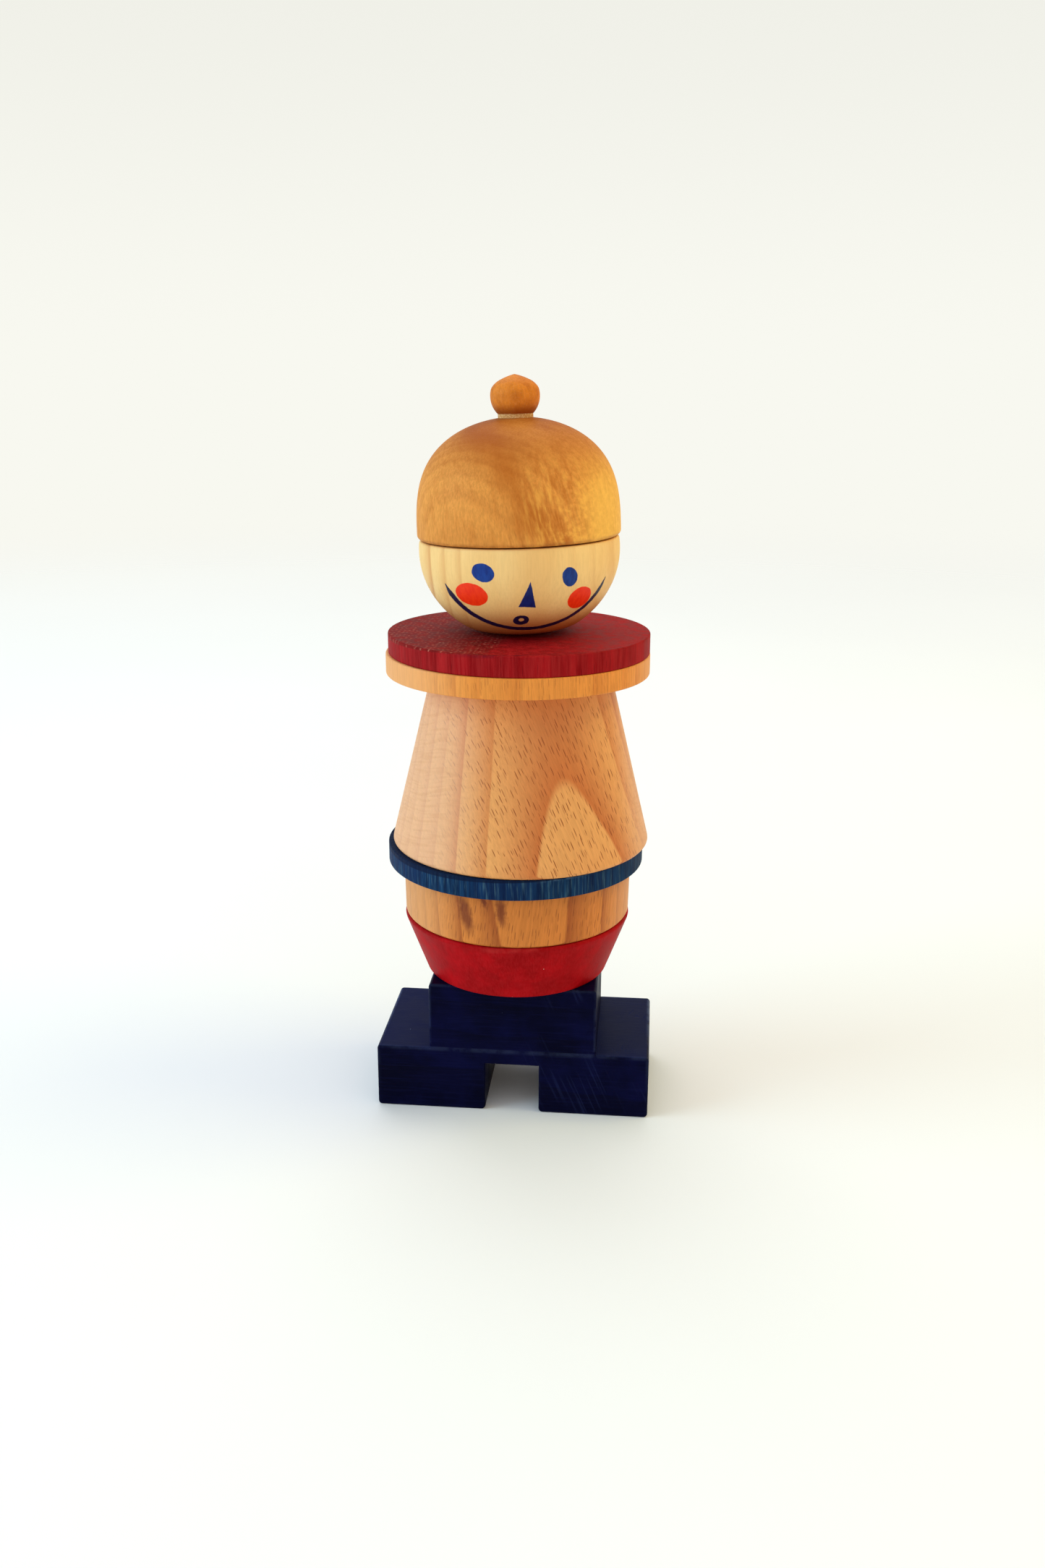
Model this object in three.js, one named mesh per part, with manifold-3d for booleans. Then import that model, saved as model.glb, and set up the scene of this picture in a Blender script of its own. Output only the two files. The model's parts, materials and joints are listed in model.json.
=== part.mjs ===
// Wooden stacking figure: a block with two feet, a post standing in it, and turned pieces
// that drop over the post.
// Millimetres, +Z up, front towards -Y. The origin is on the floor, under the middle of the block.

import * as THREE from 'three';
import * as BufferGeometryUtils from 'three/addons/utils/BufferGeometryUtils.js';
import Module from 'manifold-3d';

const wasm = await Module();
wasm.setup();

// ---------------------------------------------------------------- driving sizes

// block with the two feet
const BLOCK_WIDTH = 65.2;
const BLOCK_DEPTH = 33.0;
const BLOCK_HEIGHT = 32.5;
const FOOT_HEIGHT = 15.8;
const HIP_WIDTH = 39.8;
const SLOT_WIDTH = 12.9;
const SLOT_HEIGHT = 12.2;
const BLOCK_CORNER = 0.9;
const BLOCK_EDGE = 0.45;

// post, glued into the block
const POST_DIAMETER = 8.0;
const SOCKET_FLOOR = 6.2;
const POST_INTO_HAT = 11.0;
const POST_TIP_CHAMFER = 0.9;
const POST_OFF_CENTRE = -0.3;
const GLUE_GAP = 0.1;

// play of every loose piece around the post, on the radius
const POST_PLAY = 1.0;

// turned pieces of the body, from the bottom up
const BOWL_HEIGHT = 14.4;
const BOWL_BOTTOM_DIAMETER = 43.5;
const BOWL_TOP_DIAMETER = 54.4;
const BARREL_HEIGHT = 12.9;
const BARREL_BOTTOM_DIAMETER = 53.6;
const BARREL_TOP_DIAMETER = 54.1;
const BELT_THICKNESS = 4.8;
const BELT_DIAMETER = 60.5;
const TORSO_HEIGHT = 40.5;
const TORSO_BOTTOM_DIAMETER = 60.9;
const TORSO_TOP_DIAMETER = 41.3;
const COLLAR_THICKNESS = 4.7;
const LOWER_COLLAR_DIAMETER = 60.7;
const UPPER_COLLAR_DIAMETER = 60.0;

// how far each loose piece has slid sideways on the post, from the middle of the block
const BOWL_SHIFT = -0.45;
const BARREL_SHIFT = -0.45;
const BELT_SHIFT = -0.85;
const TORSO_SHIFT = 0.3;
const LOWER_COLLAR_SHIFT = -0.5;
const UPPER_COLLAR_SHIFT = -0.25;
const HEAD_SHIFT = 0.35;

// head, an egg-shaped ball cut flat at the foot and at the top
const HEAD_DIAMETER = 45.2;
const HEAD_HEIGHT = 20.65;
const HEAD_BALL_HALF_HEIGHT = 20.4;
const HEAD_WIDEST_ABOVE_FOOT = 18.1;
const HEAD_FOOT_DIAMETER = 12.4;
const HEAD_FOOT_BLEND = 13.5;
const HEAD_LEAN_DEGREES = 1.93;

// hat, a dome that sits on the head, and its knob
const HAT_DIAMETER = 45.7;
const HAT_HEIGHT = 25.9;
const HAT_CROWN_POWER = 3.1;
const HAT_TIP_CLEARANCE = 2.0;
const KNOB_DIAMETER = 10.9;
const KNOB_NECK_DIAMETER = 7.8;
const KNOB_NECK_HEIGHT = 0.6;
const KNOB_WAIST_STEP = 0.1;
const KNOB_SHOULDER_DEGREES = 29;
const KNOB_CONE_DEGREES = 26;
const KNOB_BLUNT_DIAMETER = 2.6;
const KNOB_TENON_DIAMETER = 5.0;
const KNOB_TENON_LENGTH = 5.0;

// gap under a leaning piece, and between pieces that lean together
const LEAN_GAP = 0.3;

// softened edges
const DISC_EDGE = 0.35;
const BOWL_EDGE = 0.8;
const BARREL_EDGE = 0.9;
const TORSO_FOOT_EDGE = 1.1;
const HEAD_TOP_EDGE = 0.5;
const HAT_RIM_EDGE = 1.0;

// fineness of the round shapes
const TURNED_SIDES = 48;
const SMALL_SIDES = 32;
const EDGE_STEPS = 2;
const CURVE_STEPS = 11;

// ---------------------------------------------------------------- places worked out from the sizes

const postRadius = POST_DIAMETER / 2;
const boreRadius = postRadius + POST_PLAY;

const bowlSeat = BLOCK_HEIGHT;
const barrelSeat = bowlSeat + BOWL_HEIGHT;
const beltSeat = barrelSeat + BARREL_HEIGHT;
const torsoSeat = beltSeat + BELT_THICKNESS;
const lowerCollarSeat = torsoSeat + TORSO_HEIGHT;
const upperCollarSeat = lowerCollarSeat + COLLAR_THICKNESS;
const upperCollarTop = upperCollarSeat + COLLAR_THICKNESS;
const postFoot = SLOT_HEIGHT + SOCKET_FLOOR;

const headLean = THREE.MathUtils.degToRad(HEAD_LEAN_DEGREES);
const headFoot = upperCollarTop + LEAN_GAP + (HEAD_FOOT_DIAMETER / 2) * Math.sin(headLean);
const hatSeat = HEAD_HEIGHT + LEAN_GAP;
const postTip = headFoot + hatSeat * Math.cos(headLean) + POST_INTO_HAT;
const hatBoreDepth = POST_INTO_HAT + HAT_TIP_CLEARANCE;

// ---------------------------------------------------------------- helpers

// A corner of an outline: radius or x, height, and how far the corner is rounded.
const corner = (x, y, round = 0) => ({ point: new THREE.Vector2(x, y), round });

// The points of a closed outline whose rounded corners are arcs that touch both sides.
function softenedOutline(corners, steps = EDGE_STEPS) {
  const points = [];
  corners.forEach(({ point, round }, i) => {
    if (round <= 0) {
      points.push(point.clone());
      return;
    }
    const before = corners[(i + corners.length - 1) % corners.length].point;
    const after = corners[(i + 1) % corners.length].point;
    const toBefore = before.clone().sub(point).normalize();
    const toAfter = after.clone().sub(point).normalize();
    const halfAngle = Math.acos(toBefore.dot(toAfter)) / 2;
    const reach = round / Math.tan(halfAngle);
    const start = point.clone().addScaledVector(toBefore, reach);
    const end = point.clone().addScaledVector(toAfter, reach);
    const middle = toBefore.clone().add(toAfter).normalize();
    const centre = point.clone().addScaledVector(middle, round / Math.sin(halfAngle));
    const startAngle = start.clone().sub(centre).angle();
    let turn = end.clone().sub(centre).angle() - startAngle;
    if (turn > Math.PI) turn -= 2 * Math.PI;
    if (turn < -Math.PI) turn += 2 * Math.PI;
    for (let k = 0; k <= steps; k += 1) {
      const angle = startAngle + (turn * k) / steps;
      points.push(new THREE.Vector2(centre.x + round * Math.cos(angle), centre.y + round * Math.sin(angle)));
    }
  });
  return points;
}

// A geometry with only shared positions and no triangle that has shrunk to a line.
function welded(geometry) {
  const bare = geometry.clone();
  bare.deleteAttribute('normal');
  bare.deleteAttribute('uv');
  const merged = BufferGeometryUtils.mergeVertices(bare, 1e-5);
  const index = merged.getIndex();
  const kept = [];
  for (let i = 0; i < index.count; i += 3) {
    const [a, b, c] = [index.getX(i), index.getX(i + 1), index.getX(i + 2)];
    if (a !== b && b !== c && c !== a) kept.push(a, b, c);
  }
  merged.setIndex(kept);
  merged.computeVertexNormals();
  return merged;
}

// A body turned about the Z axis. The outline is radius and height, and runs round the
// material from its lowest point at the axis or bore.
function turned(outline, sides = TURNED_SIDES) {
  const closed = [...outline];
  const onAxis = outline[0].x === 0 && outline[outline.length - 1].x === 0;
  if (!onAxis) closed.push(outline[0].clone());
  const geometry = new THREE.LatheGeometry(closed, sides);
  geometry.rotateX(Math.PI / 2);
  return welded(geometry);
}

// A ring with a straight bore: outer corners from the bottom to the top, seated at a height.
function boredRing(seat, height, outerCorners) {
  return turned(softenedOutline([
    corner(boreRadius, seat),
    ...outerCorners,
    corner(boreRadius, seat + height),
  ]));
}

function toSolid(geometry) {
  const shared = welded(geometry);
  const vertProperties = new Float32Array(shared.getAttribute('position').array);
  const triVerts = new Uint32Array(shared.getIndex().array);
  return new wasm.Manifold(new wasm.Mesh({ numProp: 3, vertProperties, triVerts }));
}

function fromSolid(solid) {
  const mesh = solid.getMesh();
  const geometry = new THREE.BufferGeometry();
  geometry.setAttribute('position', new THREE.BufferAttribute(new Float32Array(mesh.vertProperties), 3));
  geometry.setIndex([...mesh.triVerts]);
  geometry.computeVertexNormals();
  return geometry;
}

const wood = (color, roughness) => new THREE.MeshStandardMaterial({ color, roughness, metalness: 0 });

function piece(name, geometry, material, x = 0) {
  const mesh = new THREE.Mesh(geometry, material);
  mesh.name = name;
  mesh.position.x = x;
  return mesh;
}

// ---------------------------------------------------------------- block and post

// The front outline runs round the block, with a step above each foot and a slot between the feet.
function feetBlockGeometry() {
  const side = BLOCK_WIDTH / 2;
  const hip = HIP_WIDTH / 2;
  const slot = SLOT_WIDTH / 2;
  const soft = BLOCK_CORNER;
  const outline = softenedOutline([
    corner(slot, 0, soft),
    corner(side, 0, soft),
    corner(side, FOOT_HEIGHT, soft),
    corner(hip, FOOT_HEIGHT),
    corner(hip, BLOCK_HEIGHT, soft),
    corner(-hip, BLOCK_HEIGHT, soft),
    corner(-hip, FOOT_HEIGHT),
    corner(-side, FOOT_HEIGHT, soft),
    corner(-side, 0, soft),
    corner(-slot, 0, soft),
    corner(-slot, SLOT_HEIGHT),
    corner(slot, SLOT_HEIGHT),
  ]);
  const plain = new THREE.ExtrudeGeometry(new THREE.Shape(outline), {
    depth: BLOCK_DEPTH - 2 * BLOCK_EDGE,
    bevelThickness: BLOCK_EDGE,
    bevelSize: BLOCK_EDGE,
    bevelOffset: -BLOCK_EDGE,
    bevelSegments: EDGE_STEPS,
  });
  plain.rotateX(Math.PI / 2);
  plain.translate(0, BLOCK_DEPTH / 2 - BLOCK_EDGE, 0);
  const socketRadius = postRadius + GLUE_GAP;
  const socketFloor = postFoot - GLUE_GAP;
  const cutter = turned([
    new THREE.Vector2(0, socketFloor),
    new THREE.Vector2(socketRadius, socketFloor),
    new THREE.Vector2(socketRadius, BLOCK_HEIGHT + 1),
    new THREE.Vector2(0, BLOCK_HEIGHT + 1),
  ], SMALL_SIDES);
  cutter.translate(POST_OFF_CENTRE, 0, 0);
  return fromSolid(toSolid(plain).subtract(toSolid(cutter)));
}

function postGeometry() {
  const chamfer = POST_TIP_CHAMFER;
  return turned([
    new THREE.Vector2(0, postFoot),
    new THREE.Vector2(postRadius, postFoot),
    new THREE.Vector2(postRadius, postTip - chamfer),
    new THREE.Vector2(postRadius - chamfer, postTip),
    new THREE.Vector2(0, postTip),
  ], SMALL_SIDES);
}

// ---------------------------------------------------------------- turned body

function bowlGeometry() {
  return boredRing(bowlSeat, BOWL_HEIGHT, [
    corner(BOWL_BOTTOM_DIAMETER / 2, bowlSeat, BOWL_EDGE / 2),
    corner(BOWL_TOP_DIAMETER / 2, barrelSeat, BOWL_EDGE),
  ]);
}

function barrelGeometry() {
  return boredRing(barrelSeat, BARREL_HEIGHT, [
    corner(BARREL_BOTTOM_DIAMETER / 2, barrelSeat, BARREL_EDGE),
    corner(BARREL_TOP_DIAMETER / 2, beltSeat, BARREL_EDGE / 2),
  ]);
}

function discGeometry(seat, thickness, diameter) {
  return boredRing(seat, thickness, [
    corner(diameter / 2, seat, DISC_EDGE),
    corner(diameter / 2, seat + thickness, DISC_EDGE),
  ]);
}

function torsoGeometry() {
  return boredRing(torsoSeat, TORSO_HEIGHT, [
    corner(TORSO_BOTTOM_DIAMETER / 2, torsoSeat, TORSO_FOOT_EDGE),
    corner(TORSO_TOP_DIAMETER / 2, lowerCollarSeat, DISC_EDGE),
  ]);
}

// ---------------------------------------------------------------- head, hat and knob, before they lean

// Radius of the head's ball at a height above its foot.
function headRadiusAt(height) {
  const rise = (height - HEAD_WIDEST_ABOVE_FOOT) / HEAD_BALL_HALF_HEIGHT;
  return (HEAD_DIAMETER / 2) * Math.sqrt(1 - rise * rise);
}

function headGeometry() {
  const widest = HEAD_DIAMETER / 2;
  const half = HEAD_BALL_HALF_HEIGHT;
  const blendAngle = -Math.acos(HEAD_FOOT_BLEND / widest);
  const topAngle = Math.asin((HEAD_HEIGHT - HEAD_TOP_EDGE - HEAD_WIDEST_ABOVE_FOOT) / half);
  const onBall = (angle) => new THREE.Vector2(
    widest * Math.cos(angle),
    HEAD_WIDEST_ABOVE_FOOT + half * Math.sin(angle),
  );
  const blendEnd = onBall(blendAngle);
  const slope = (half * Math.cos(blendAngle)) / (-widest * Math.sin(blendAngle));
  const blendCorner = new THREE.Vector2(blendEnd.x - blendEnd.y / slope, 0);
  const footEdge = new THREE.Vector2(HEAD_FOOT_DIAMETER / 2, 0);
  const foot = new THREE.QuadraticBezierCurve(footEdge, blendCorner, blendEnd);
  const outline = [new THREE.Vector2(boreRadius, 0), ...foot.getPoints(3)];
  for (let k = 1; k <= CURVE_STEPS; k += 1) {
    outline.push(onBall(blendAngle + ((topAngle - blendAngle) * k) / CURVE_STEPS));
  }
  outline.push(new THREE.Vector2(headRadiusAt(HEAD_HEIGHT) - HEAD_TOP_EDGE, HEAD_HEIGHT));
  outline.push(new THREE.Vector2(boreRadius, HEAD_HEIGHT));
  return turned(outline);
}

// A point on the hat's dome, which is fuller up its side than an ellipse. Angle 0 is the rim,
// and a right angle the crown.
function onDome(angle) {
  return new THREE.Vector2(
    (HAT_DIAMETER / 2) * Math.cos(angle),
    HAT_HEIGHT * Math.sin(angle) ** (2 / HAT_CROWN_POWER),
  );
}

const knobSeatAngle = Math.acos(KNOB_NECK_DIAMETER / HAT_DIAMETER);
const knobSeat = onDome(knobSeatAngle).y;

function hatGeometry() {
  const rim = HAT_DIAMETER / 2;
  const socketRadius = KNOB_TENON_DIAMETER / 2 + GLUE_GAP;
  const socketFloor = knobSeat - KNOB_TENON_LENGTH - GLUE_GAP;
  const rimEdge = softenedOutline([
    corner(boreRadius, 0),
    corner(rim, 0, HAT_RIM_EDGE),
    corner(rim, HAT_HEIGHT),
  ]).slice(0, -1);
  const dome = [];
  for (let k = 1; k <= CURVE_STEPS; k += 1) {
    dome.push(onDome(knobSeatAngle * (k / CURVE_STEPS) ** 1.3));
  }
  return turned([
    new THREE.Vector2(0, hatBoreDepth),
    new THREE.Vector2(boreRadius, hatBoreDepth),
    ...rimEdge,
    ...dome,
    new THREE.Vector2(socketRadius, knobSeat),
    new THREE.Vector2(socketRadius, socketFloor),
    new THREE.Vector2(0, socketFloor),
  ]);
}

function knobGeometry() {
  const ball = KNOB_DIAMETER / 2;
  const neck = KNOB_NECK_DIAMETER / 2;
  const tenon = KNOB_TENON_DIAMETER / 2;
  const blunt = KNOB_BLUNT_DIAMETER / 2;
  const foot = LEAN_GAP;
  const neckTop = foot + KNOB_NECK_HEIGHT;
  const waistAngle = -Math.acos((neck + KNOB_WAIST_STEP) / ball);
  const shoulderAngle = THREE.MathUtils.degToRad(KNOB_SHOULDER_DEGREES);
  const ballMiddle = neckTop - ball * Math.sin(waistAngle);
  const outline = [
    new THREE.Vector2(0, -KNOB_TENON_LENGTH),
    new THREE.Vector2(tenon, -KNOB_TENON_LENGTH),
    new THREE.Vector2(tenon, foot),
    new THREE.Vector2(neck, foot),
    new THREE.Vector2(neck, neckTop),
  ];
  const ballSteps = 7;
  for (let k = 0; k <= ballSteps; k += 1) {
    const angle = waistAngle + ((shoulderAngle - waistAngle) * k) / ballSteps;
    outline.push(new THREE.Vector2(ball * Math.cos(angle), ballMiddle + ball * Math.sin(angle)));
  }
  const shoulder = outline[outline.length - 1];
  const coneSlope = Math.tan(THREE.MathUtils.degToRad(KNOB_CONE_DEGREES));
  const coneTop = shoulder.y + (shoulder.x - blunt) * coneSlope;
  outline.push(new THREE.Vector2(blunt, coneTop));
  outline.push(new THREE.Vector2(0, coneTop + (blunt * coneSlope) / 2));
  return turned(outline, SMALL_SIDES);
}

// ---------------------------------------------------------------- the assembly

const figure = new THREE.Group();

figure.add(piece('feet_block', feetBlockGeometry(), wood('#14163f', 0.5)));
figure.add(piece('post', postGeometry(), wood('#d9b98c', 0.6), POST_OFF_CENTRE));
figure.add(piece('hip_bowl', bowlGeometry(), wood('#a3161c', 0.5), BOWL_SHIFT));
figure.add(piece('belly_barrel', barrelGeometry(), wood('#cf9a63', 0.55), BARREL_SHIFT));
figure.add(piece(
  'belt_disc',
  discGeometry(beltSeat, BELT_THICKNESS, BELT_DIAMETER),
  wood('#1d3a66', 0.6),
  BELT_SHIFT,
));
figure.add(piece('torso_cone', torsoGeometry(), wood('#cc9468', 0.55), TORSO_SHIFT));
figure.add(piece(
  'lower_collar',
  discGeometry(lowerCollarSeat, COLLAR_THICKNESS, LOWER_COLLAR_DIAMETER),
  wood('#dd9c55', 0.55),
  LOWER_COLLAR_SHIFT,
));
figure.add(piece(
  'upper_collar',
  discGeometry(upperCollarSeat, COLLAR_THICKNESS, UPPER_COLLAR_DIAMETER),
  wood('#8e1f22', 0.6),
  UPPER_COLLAR_SHIFT,
));

const leaning = new THREE.Group();
leaning.position.set(HEAD_SHIFT, 0, headFoot);
leaning.rotation.y = -headLean;
leaning.add(piece('head', headGeometry(), wood('#ecc890', 0.45)));

const onHead = new THREE.Group();
onHead.position.z = hatSeat;
onHead.add(piece('hat', hatGeometry(), wood('#c98a3e', 0.45)));

const onHat = new THREE.Group();
onHat.position.z = knobSeat;
onHat.add(piece('hat_knob', knobGeometry(), wood('#a8642f', 0.5)));

onHead.add(onHat);
leaning.add(onHead);
figure.add(leaning);

export default figure;
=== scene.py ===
import json
import math

import bmesh
import bpy
from mathutils import Matrix, Vector


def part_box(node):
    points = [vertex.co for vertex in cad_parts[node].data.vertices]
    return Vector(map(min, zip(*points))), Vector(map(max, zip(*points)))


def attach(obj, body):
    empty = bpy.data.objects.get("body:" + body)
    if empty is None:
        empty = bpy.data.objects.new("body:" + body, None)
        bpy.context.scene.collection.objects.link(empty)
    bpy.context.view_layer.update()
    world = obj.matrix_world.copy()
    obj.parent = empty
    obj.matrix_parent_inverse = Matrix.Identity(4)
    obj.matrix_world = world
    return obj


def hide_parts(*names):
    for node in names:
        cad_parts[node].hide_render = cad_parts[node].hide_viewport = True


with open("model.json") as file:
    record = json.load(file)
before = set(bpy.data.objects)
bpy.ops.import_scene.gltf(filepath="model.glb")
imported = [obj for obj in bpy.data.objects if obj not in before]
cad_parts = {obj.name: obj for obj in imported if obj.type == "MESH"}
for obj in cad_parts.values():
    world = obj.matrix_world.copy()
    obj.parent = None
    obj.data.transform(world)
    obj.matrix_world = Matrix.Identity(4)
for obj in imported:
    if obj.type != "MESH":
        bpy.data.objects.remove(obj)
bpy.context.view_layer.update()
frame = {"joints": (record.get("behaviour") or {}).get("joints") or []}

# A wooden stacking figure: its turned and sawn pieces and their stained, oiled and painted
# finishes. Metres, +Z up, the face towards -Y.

MM = 0.001

# ---------------------------------------------------------------- sizes of the wood

BLOCK_FOOT_HEIGHT = 15.8 * MM
BLOCK_HIP_WIDTH = 39.8 * MM
BLOCK_SLOT_WIDTH = 12.9 * MM
BLOCK_SLOT_HEIGHT = 12.2 * MM
BLOCK_CORNER = 0.9 * MM
BLOCK_EDGE = 0.45 * MM

POST_PLAY = 1.0 * MM
POST_CHAMFER = 0.9 * MM
GLUE_GAP = 0.1 * MM
BORE_EDGE = 0.25 * MM

# each pair is of the bottom and the top
BOWL_RADII = (21.75 * MM, 27.2 * MM)
BOWL_EDGES = (0.4 * MM, 0.9 * MM)
BARREL_RADII = (26.8 * MM, 27.05 * MM)
BARREL_EDGES = (0.9 * MM, 0.45 * MM)
TORSO_RADII = (30.45 * MM, 20.65 * MM)
TORSO_EDGES = (1.1 * MM, 0.35 * MM)
DISC_EDGES = (0.35 * MM, 0.35 * MM)

HEAD_RADIUS = 22.6 * MM
HEAD_HEIGHT = 20.65 * MM
HEAD_BALL_HALF_HEIGHT = 20.4 * MM
HEAD_WIDEST = 18.1 * MM
HEAD_FOOT_RADIUS = 6.2 * MM
HEAD_FOOT_BLEND = 13.5 * MM
HEAD_TOP_MARGIN = 0.5 * MM
HEAD_TOP_INSET = 0.15 * MM
HEAD_TOP_EDGE = 0.3 * MM
HEAD_FOOT_STEPS = 10
HEAD_BALL_STEPS = 44

HAT_RADIUS = 22.85 * MM
HAT_HEIGHT = 25.9 * MM
HAT_CROWN_POWER = 3.1
HAT_BORE_DEPTH = 13.0 * MM
HAT_RIM_EDGE = 1.0 * MM
HAT_DOME_STEPS = 56
HAT_STEPS_TO_RIM = 1.6
SEAT_GAP = 0.3 * MM

KNOB_RADIUS = 5.45 * MM
KNOB_NECK_RADIUS = 3.9 * MM
KNOB_NECK_TOP = 0.9 * MM
KNOB_WAIST_STEP = 0.05 * MM
KNOB_SHOULDER = math.radians(29)
KNOB_CONE = math.radians(26)
KNOB_SHOULDER_BLEND = math.radians(13)
KNOB_SHOULDER_EDGE = 1.5 * MM
KNOB_BLUNT_RADIUS = 1.7 * MM
KNOB_BLUNT_EDGE = 1.2 * MM
KNOB_BALL_STEPS = 20
KNOB_SEAT_LIFT = 0.02 * MM
KNOB_TENON_RADIUS = 2.5 * MM
KNOB_TENON_LENGTH = 5.0 * MM

TURNING_STEPS = 192
SMALL_TURNING_STEPS = 96
SMOOTH_ANGLE = math.radians(32)
PENCIL = 0.1 * MM
WELD = 0.001 * MM

# ---------------------------------------------------------------- places taken from the frame

JOINTS = {joint["name"]: joint for joint in frame["joints"]}
HEAD_PIVOT = Vector(JOINTS["head_turn"]["pos_m"])
HEAD_AXIS = Vector(JOINTS["head_turn"]["axis"])
HEAD_LEAN = math.atan2(-HEAD_AXIS.x, HEAD_AXIS.z)
LEANING = Matrix.Translation(HEAD_PIVOT) @ Matrix.Rotation(-HEAD_LEAN, 4, "Y")
HAT_SEAT = HEAD_HEIGHT + SEAT_GAP
KNOB_SEAT_ANGLE = math.acos(KNOB_NECK_RADIUS / HAT_RADIUS)


def middle_of(node):
    """The X of a turned piece's axis."""
    lo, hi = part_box(node)
    return (lo.x + hi.x) / 2


def radius_of(node):
    """The widest radius of a turned piece."""
    lo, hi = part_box(node)
    return (hi.x - lo.x) / 2


def centre_of(node):
    """The middle of a turned piece, on its axis."""
    lo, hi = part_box(node)
    return (middle_of(node), 0, (lo.z + hi.z) / 2)


def top_of(node):
    """The height of a piece's top."""
    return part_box(node)[1].z


def disc_radii(node):
    """The bottom and top radius of a disc."""
    return (radius_of(node), radius_of(node))


POST_RADIUS = radius_of("post")
BORE_RADIUS = POST_RADIUS + POST_PLAY

# ---------------------------------------------------------------- camera, floor and lamps

CAMERA_PLACE = (0.02991, -0.31493, 0.17402)
CAMERA_HEADING = math.radians(5.30)
CAMERA_PITCH = math.radians(16.95)
CAMERA_ROLL = math.radians(0.29)
CAMERA_LENS = 32.06

FLOOR_RADIUS = 4.0
FLOOR_FADE_START = 0.3
FLOOR_FADE_END = 1.3
ROOM_LIGHT = 0.77
BACKDROP_LIGHT = 0.72
LEFT_TINT = (0.91, 0.95, 0.97, 1.0)
RIGHT_TINT = (1.08, 0.86, 0.58, 1.0)
FRONT_TINT = (1.16, 0.95, 0.76, 1.0)
UPPER_TINT = (0.93, 0.97, 1.0, 1.0)

CHEST = Vector((0, 0, 0.09))
# name, place, width, power and tint of each square lamp
LAMPS = (
    ("window_left", (-1.5, -0.45, 0.7), 1.0, 16.0, (0.60, 0.87, 1.0)),
    ("warm_wall_right", (0.8, 0.05, 0.95), 0.6, 4.2, (1.0, 0.83, 0.24)),
    ("ceiling", (-0.3, 0.9, 1.6), 1.2, 7.8, (0.98, 0.99, 0.98)),
)


def set_camera():
    camera = bpy.data.objects.new("camera", bpy.data.cameras.new("camera"))
    bpy.context.scene.collection.objects.link(camera)
    camera.data.lens = CAMERA_LENS
    turn = Matrix.Rotation(CAMERA_HEADING, 4, "Z")
    tip = Matrix.Rotation(math.radians(90) - CAMERA_PITCH, 4, "X")
    roll = Matrix.Rotation(CAMERA_ROLL, 4, "Z")
    camera.matrix_world = Matrix.Translation(CAMERA_PLACE) @ turn @ tip @ roll
    bpy.context.scene.camera = camera


def soft_lamp(name, place, size, power, tint):
    """A large square lamp at place that faces the figure's chest."""
    lamp = bpy.data.objects.new(name, bpy.data.lights.new(name, "AREA"))
    bpy.context.scene.collection.objects.link(lamp)
    lamp.data.shape = "SQUARE"
    lamp.data.size = size
    lamp.data.energy = power
    lamp.data.color = tint
    lamp.location = place
    facing = CHEST - Vector(place)
    lamp.rotation_euler = facing.to_track_quat("-Z", "Y").to_euler()
    lamp.visible_camera = False


# ---------------------------------------------------------------- nodes, shared by all finishes

def paint(red, green, blue):
    """A colour given as on a paint card, 0 to 255, in the linear values that sockets take."""
    def linear(part):
        part /= 255
        return part / 12.92 if part <= 0.04045 else ((part + 0.055) / 1.055) ** 2.4
    return (linear(red), linear(green), linear(blue), 1.0)


def plug(tree, socket, value):
    """Joins a socket to another one, or writes a plain value in it."""
    if isinstance(value, bpy.types.NodeSocket):
        tree.links.new(value, socket)
    else:
        socket.default_value = value


def put(tree, kind, sockets=None, **options):
    """Adds a node, with its options set and its inputs filled by name or number."""
    node = tree.nodes.new(kind)
    for option, value in options.items():
        setattr(node, option, value)
    for socket, value in (sockets or {}).items():
        plug(tree, node.inputs[socket], value)
    return node


def maths(tree, operation, *values, clamp=False):
    node = put(tree, "ShaderNodeMath", dict(enumerate(values)), operation=operation, use_clamp=clamp)
    return node.outputs[0]


def vector_maths(tree, operation, *values):
    node = put(tree, "ShaderNodeVectorMath", dict(enumerate(values)), operation=operation)
    return node.outputs["Value" if operation == "LENGTH" else "Vector"]


def split(tree, vector):
    node = put(tree, "ShaderNodeSeparateXYZ", {0: vector})
    return node.outputs[0], node.outputs[1], node.outputs[2]


def join(tree, x, y, z):
    return put(tree, "ShaderNodeCombineXYZ", {0: x, 1: y, 2: z}).outputs[0]


def ramp(tree, value, low, high, to_low=0.0, to_high=1.0):
    """A smooth step from to_low at low to to_high at high."""
    node = put(
        tree,
        "ShaderNodeMapRange",
        {"Value": value, "From Min": low, "From Max": high, "To Min": to_low, "To Max": to_high},
        interpolation_type="SMOOTHSTEP",
    )
    return node.outputs[0]


def noise(tree, place, scale, detail=2.0, roughness=0.5):
    sockets = {"Vector": place, "Scale": scale, "Detail": detail, "Roughness": roughness}
    return put(tree, "ShaderNodeTexNoise", sockets).outputs[0]


def mix(tree, amount, first, second, blend="MIX"):
    node = put(tree, "ShaderNodeMix", {0: amount}, data_type="RGBA", blend_type=blend)
    plug(tree, node.inputs[6], first)
    plug(tree, node.inputs[7], second)
    return node.outputs[2]


def mix_value(tree, amount, first, second):
    node = put(tree, "ShaderNodeMix", {0: amount, 2: first, 3: second}, data_type="FLOAT")
    return node.outputs[0]


def times(tree, *values):
    """The product of several values."""
    result = values[0]
    for value in values[1:]:
        result = maths(tree, "MULTIPLY", result, value)
    return result


def turned_about_y(tree, place, angle):
    sockets = {"Vector": place, "Angle": angle}
    return put(tree, "ShaderNodeVectorRotate", sockets, rotation_type="Y_AXIS").outputs[0]


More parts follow.
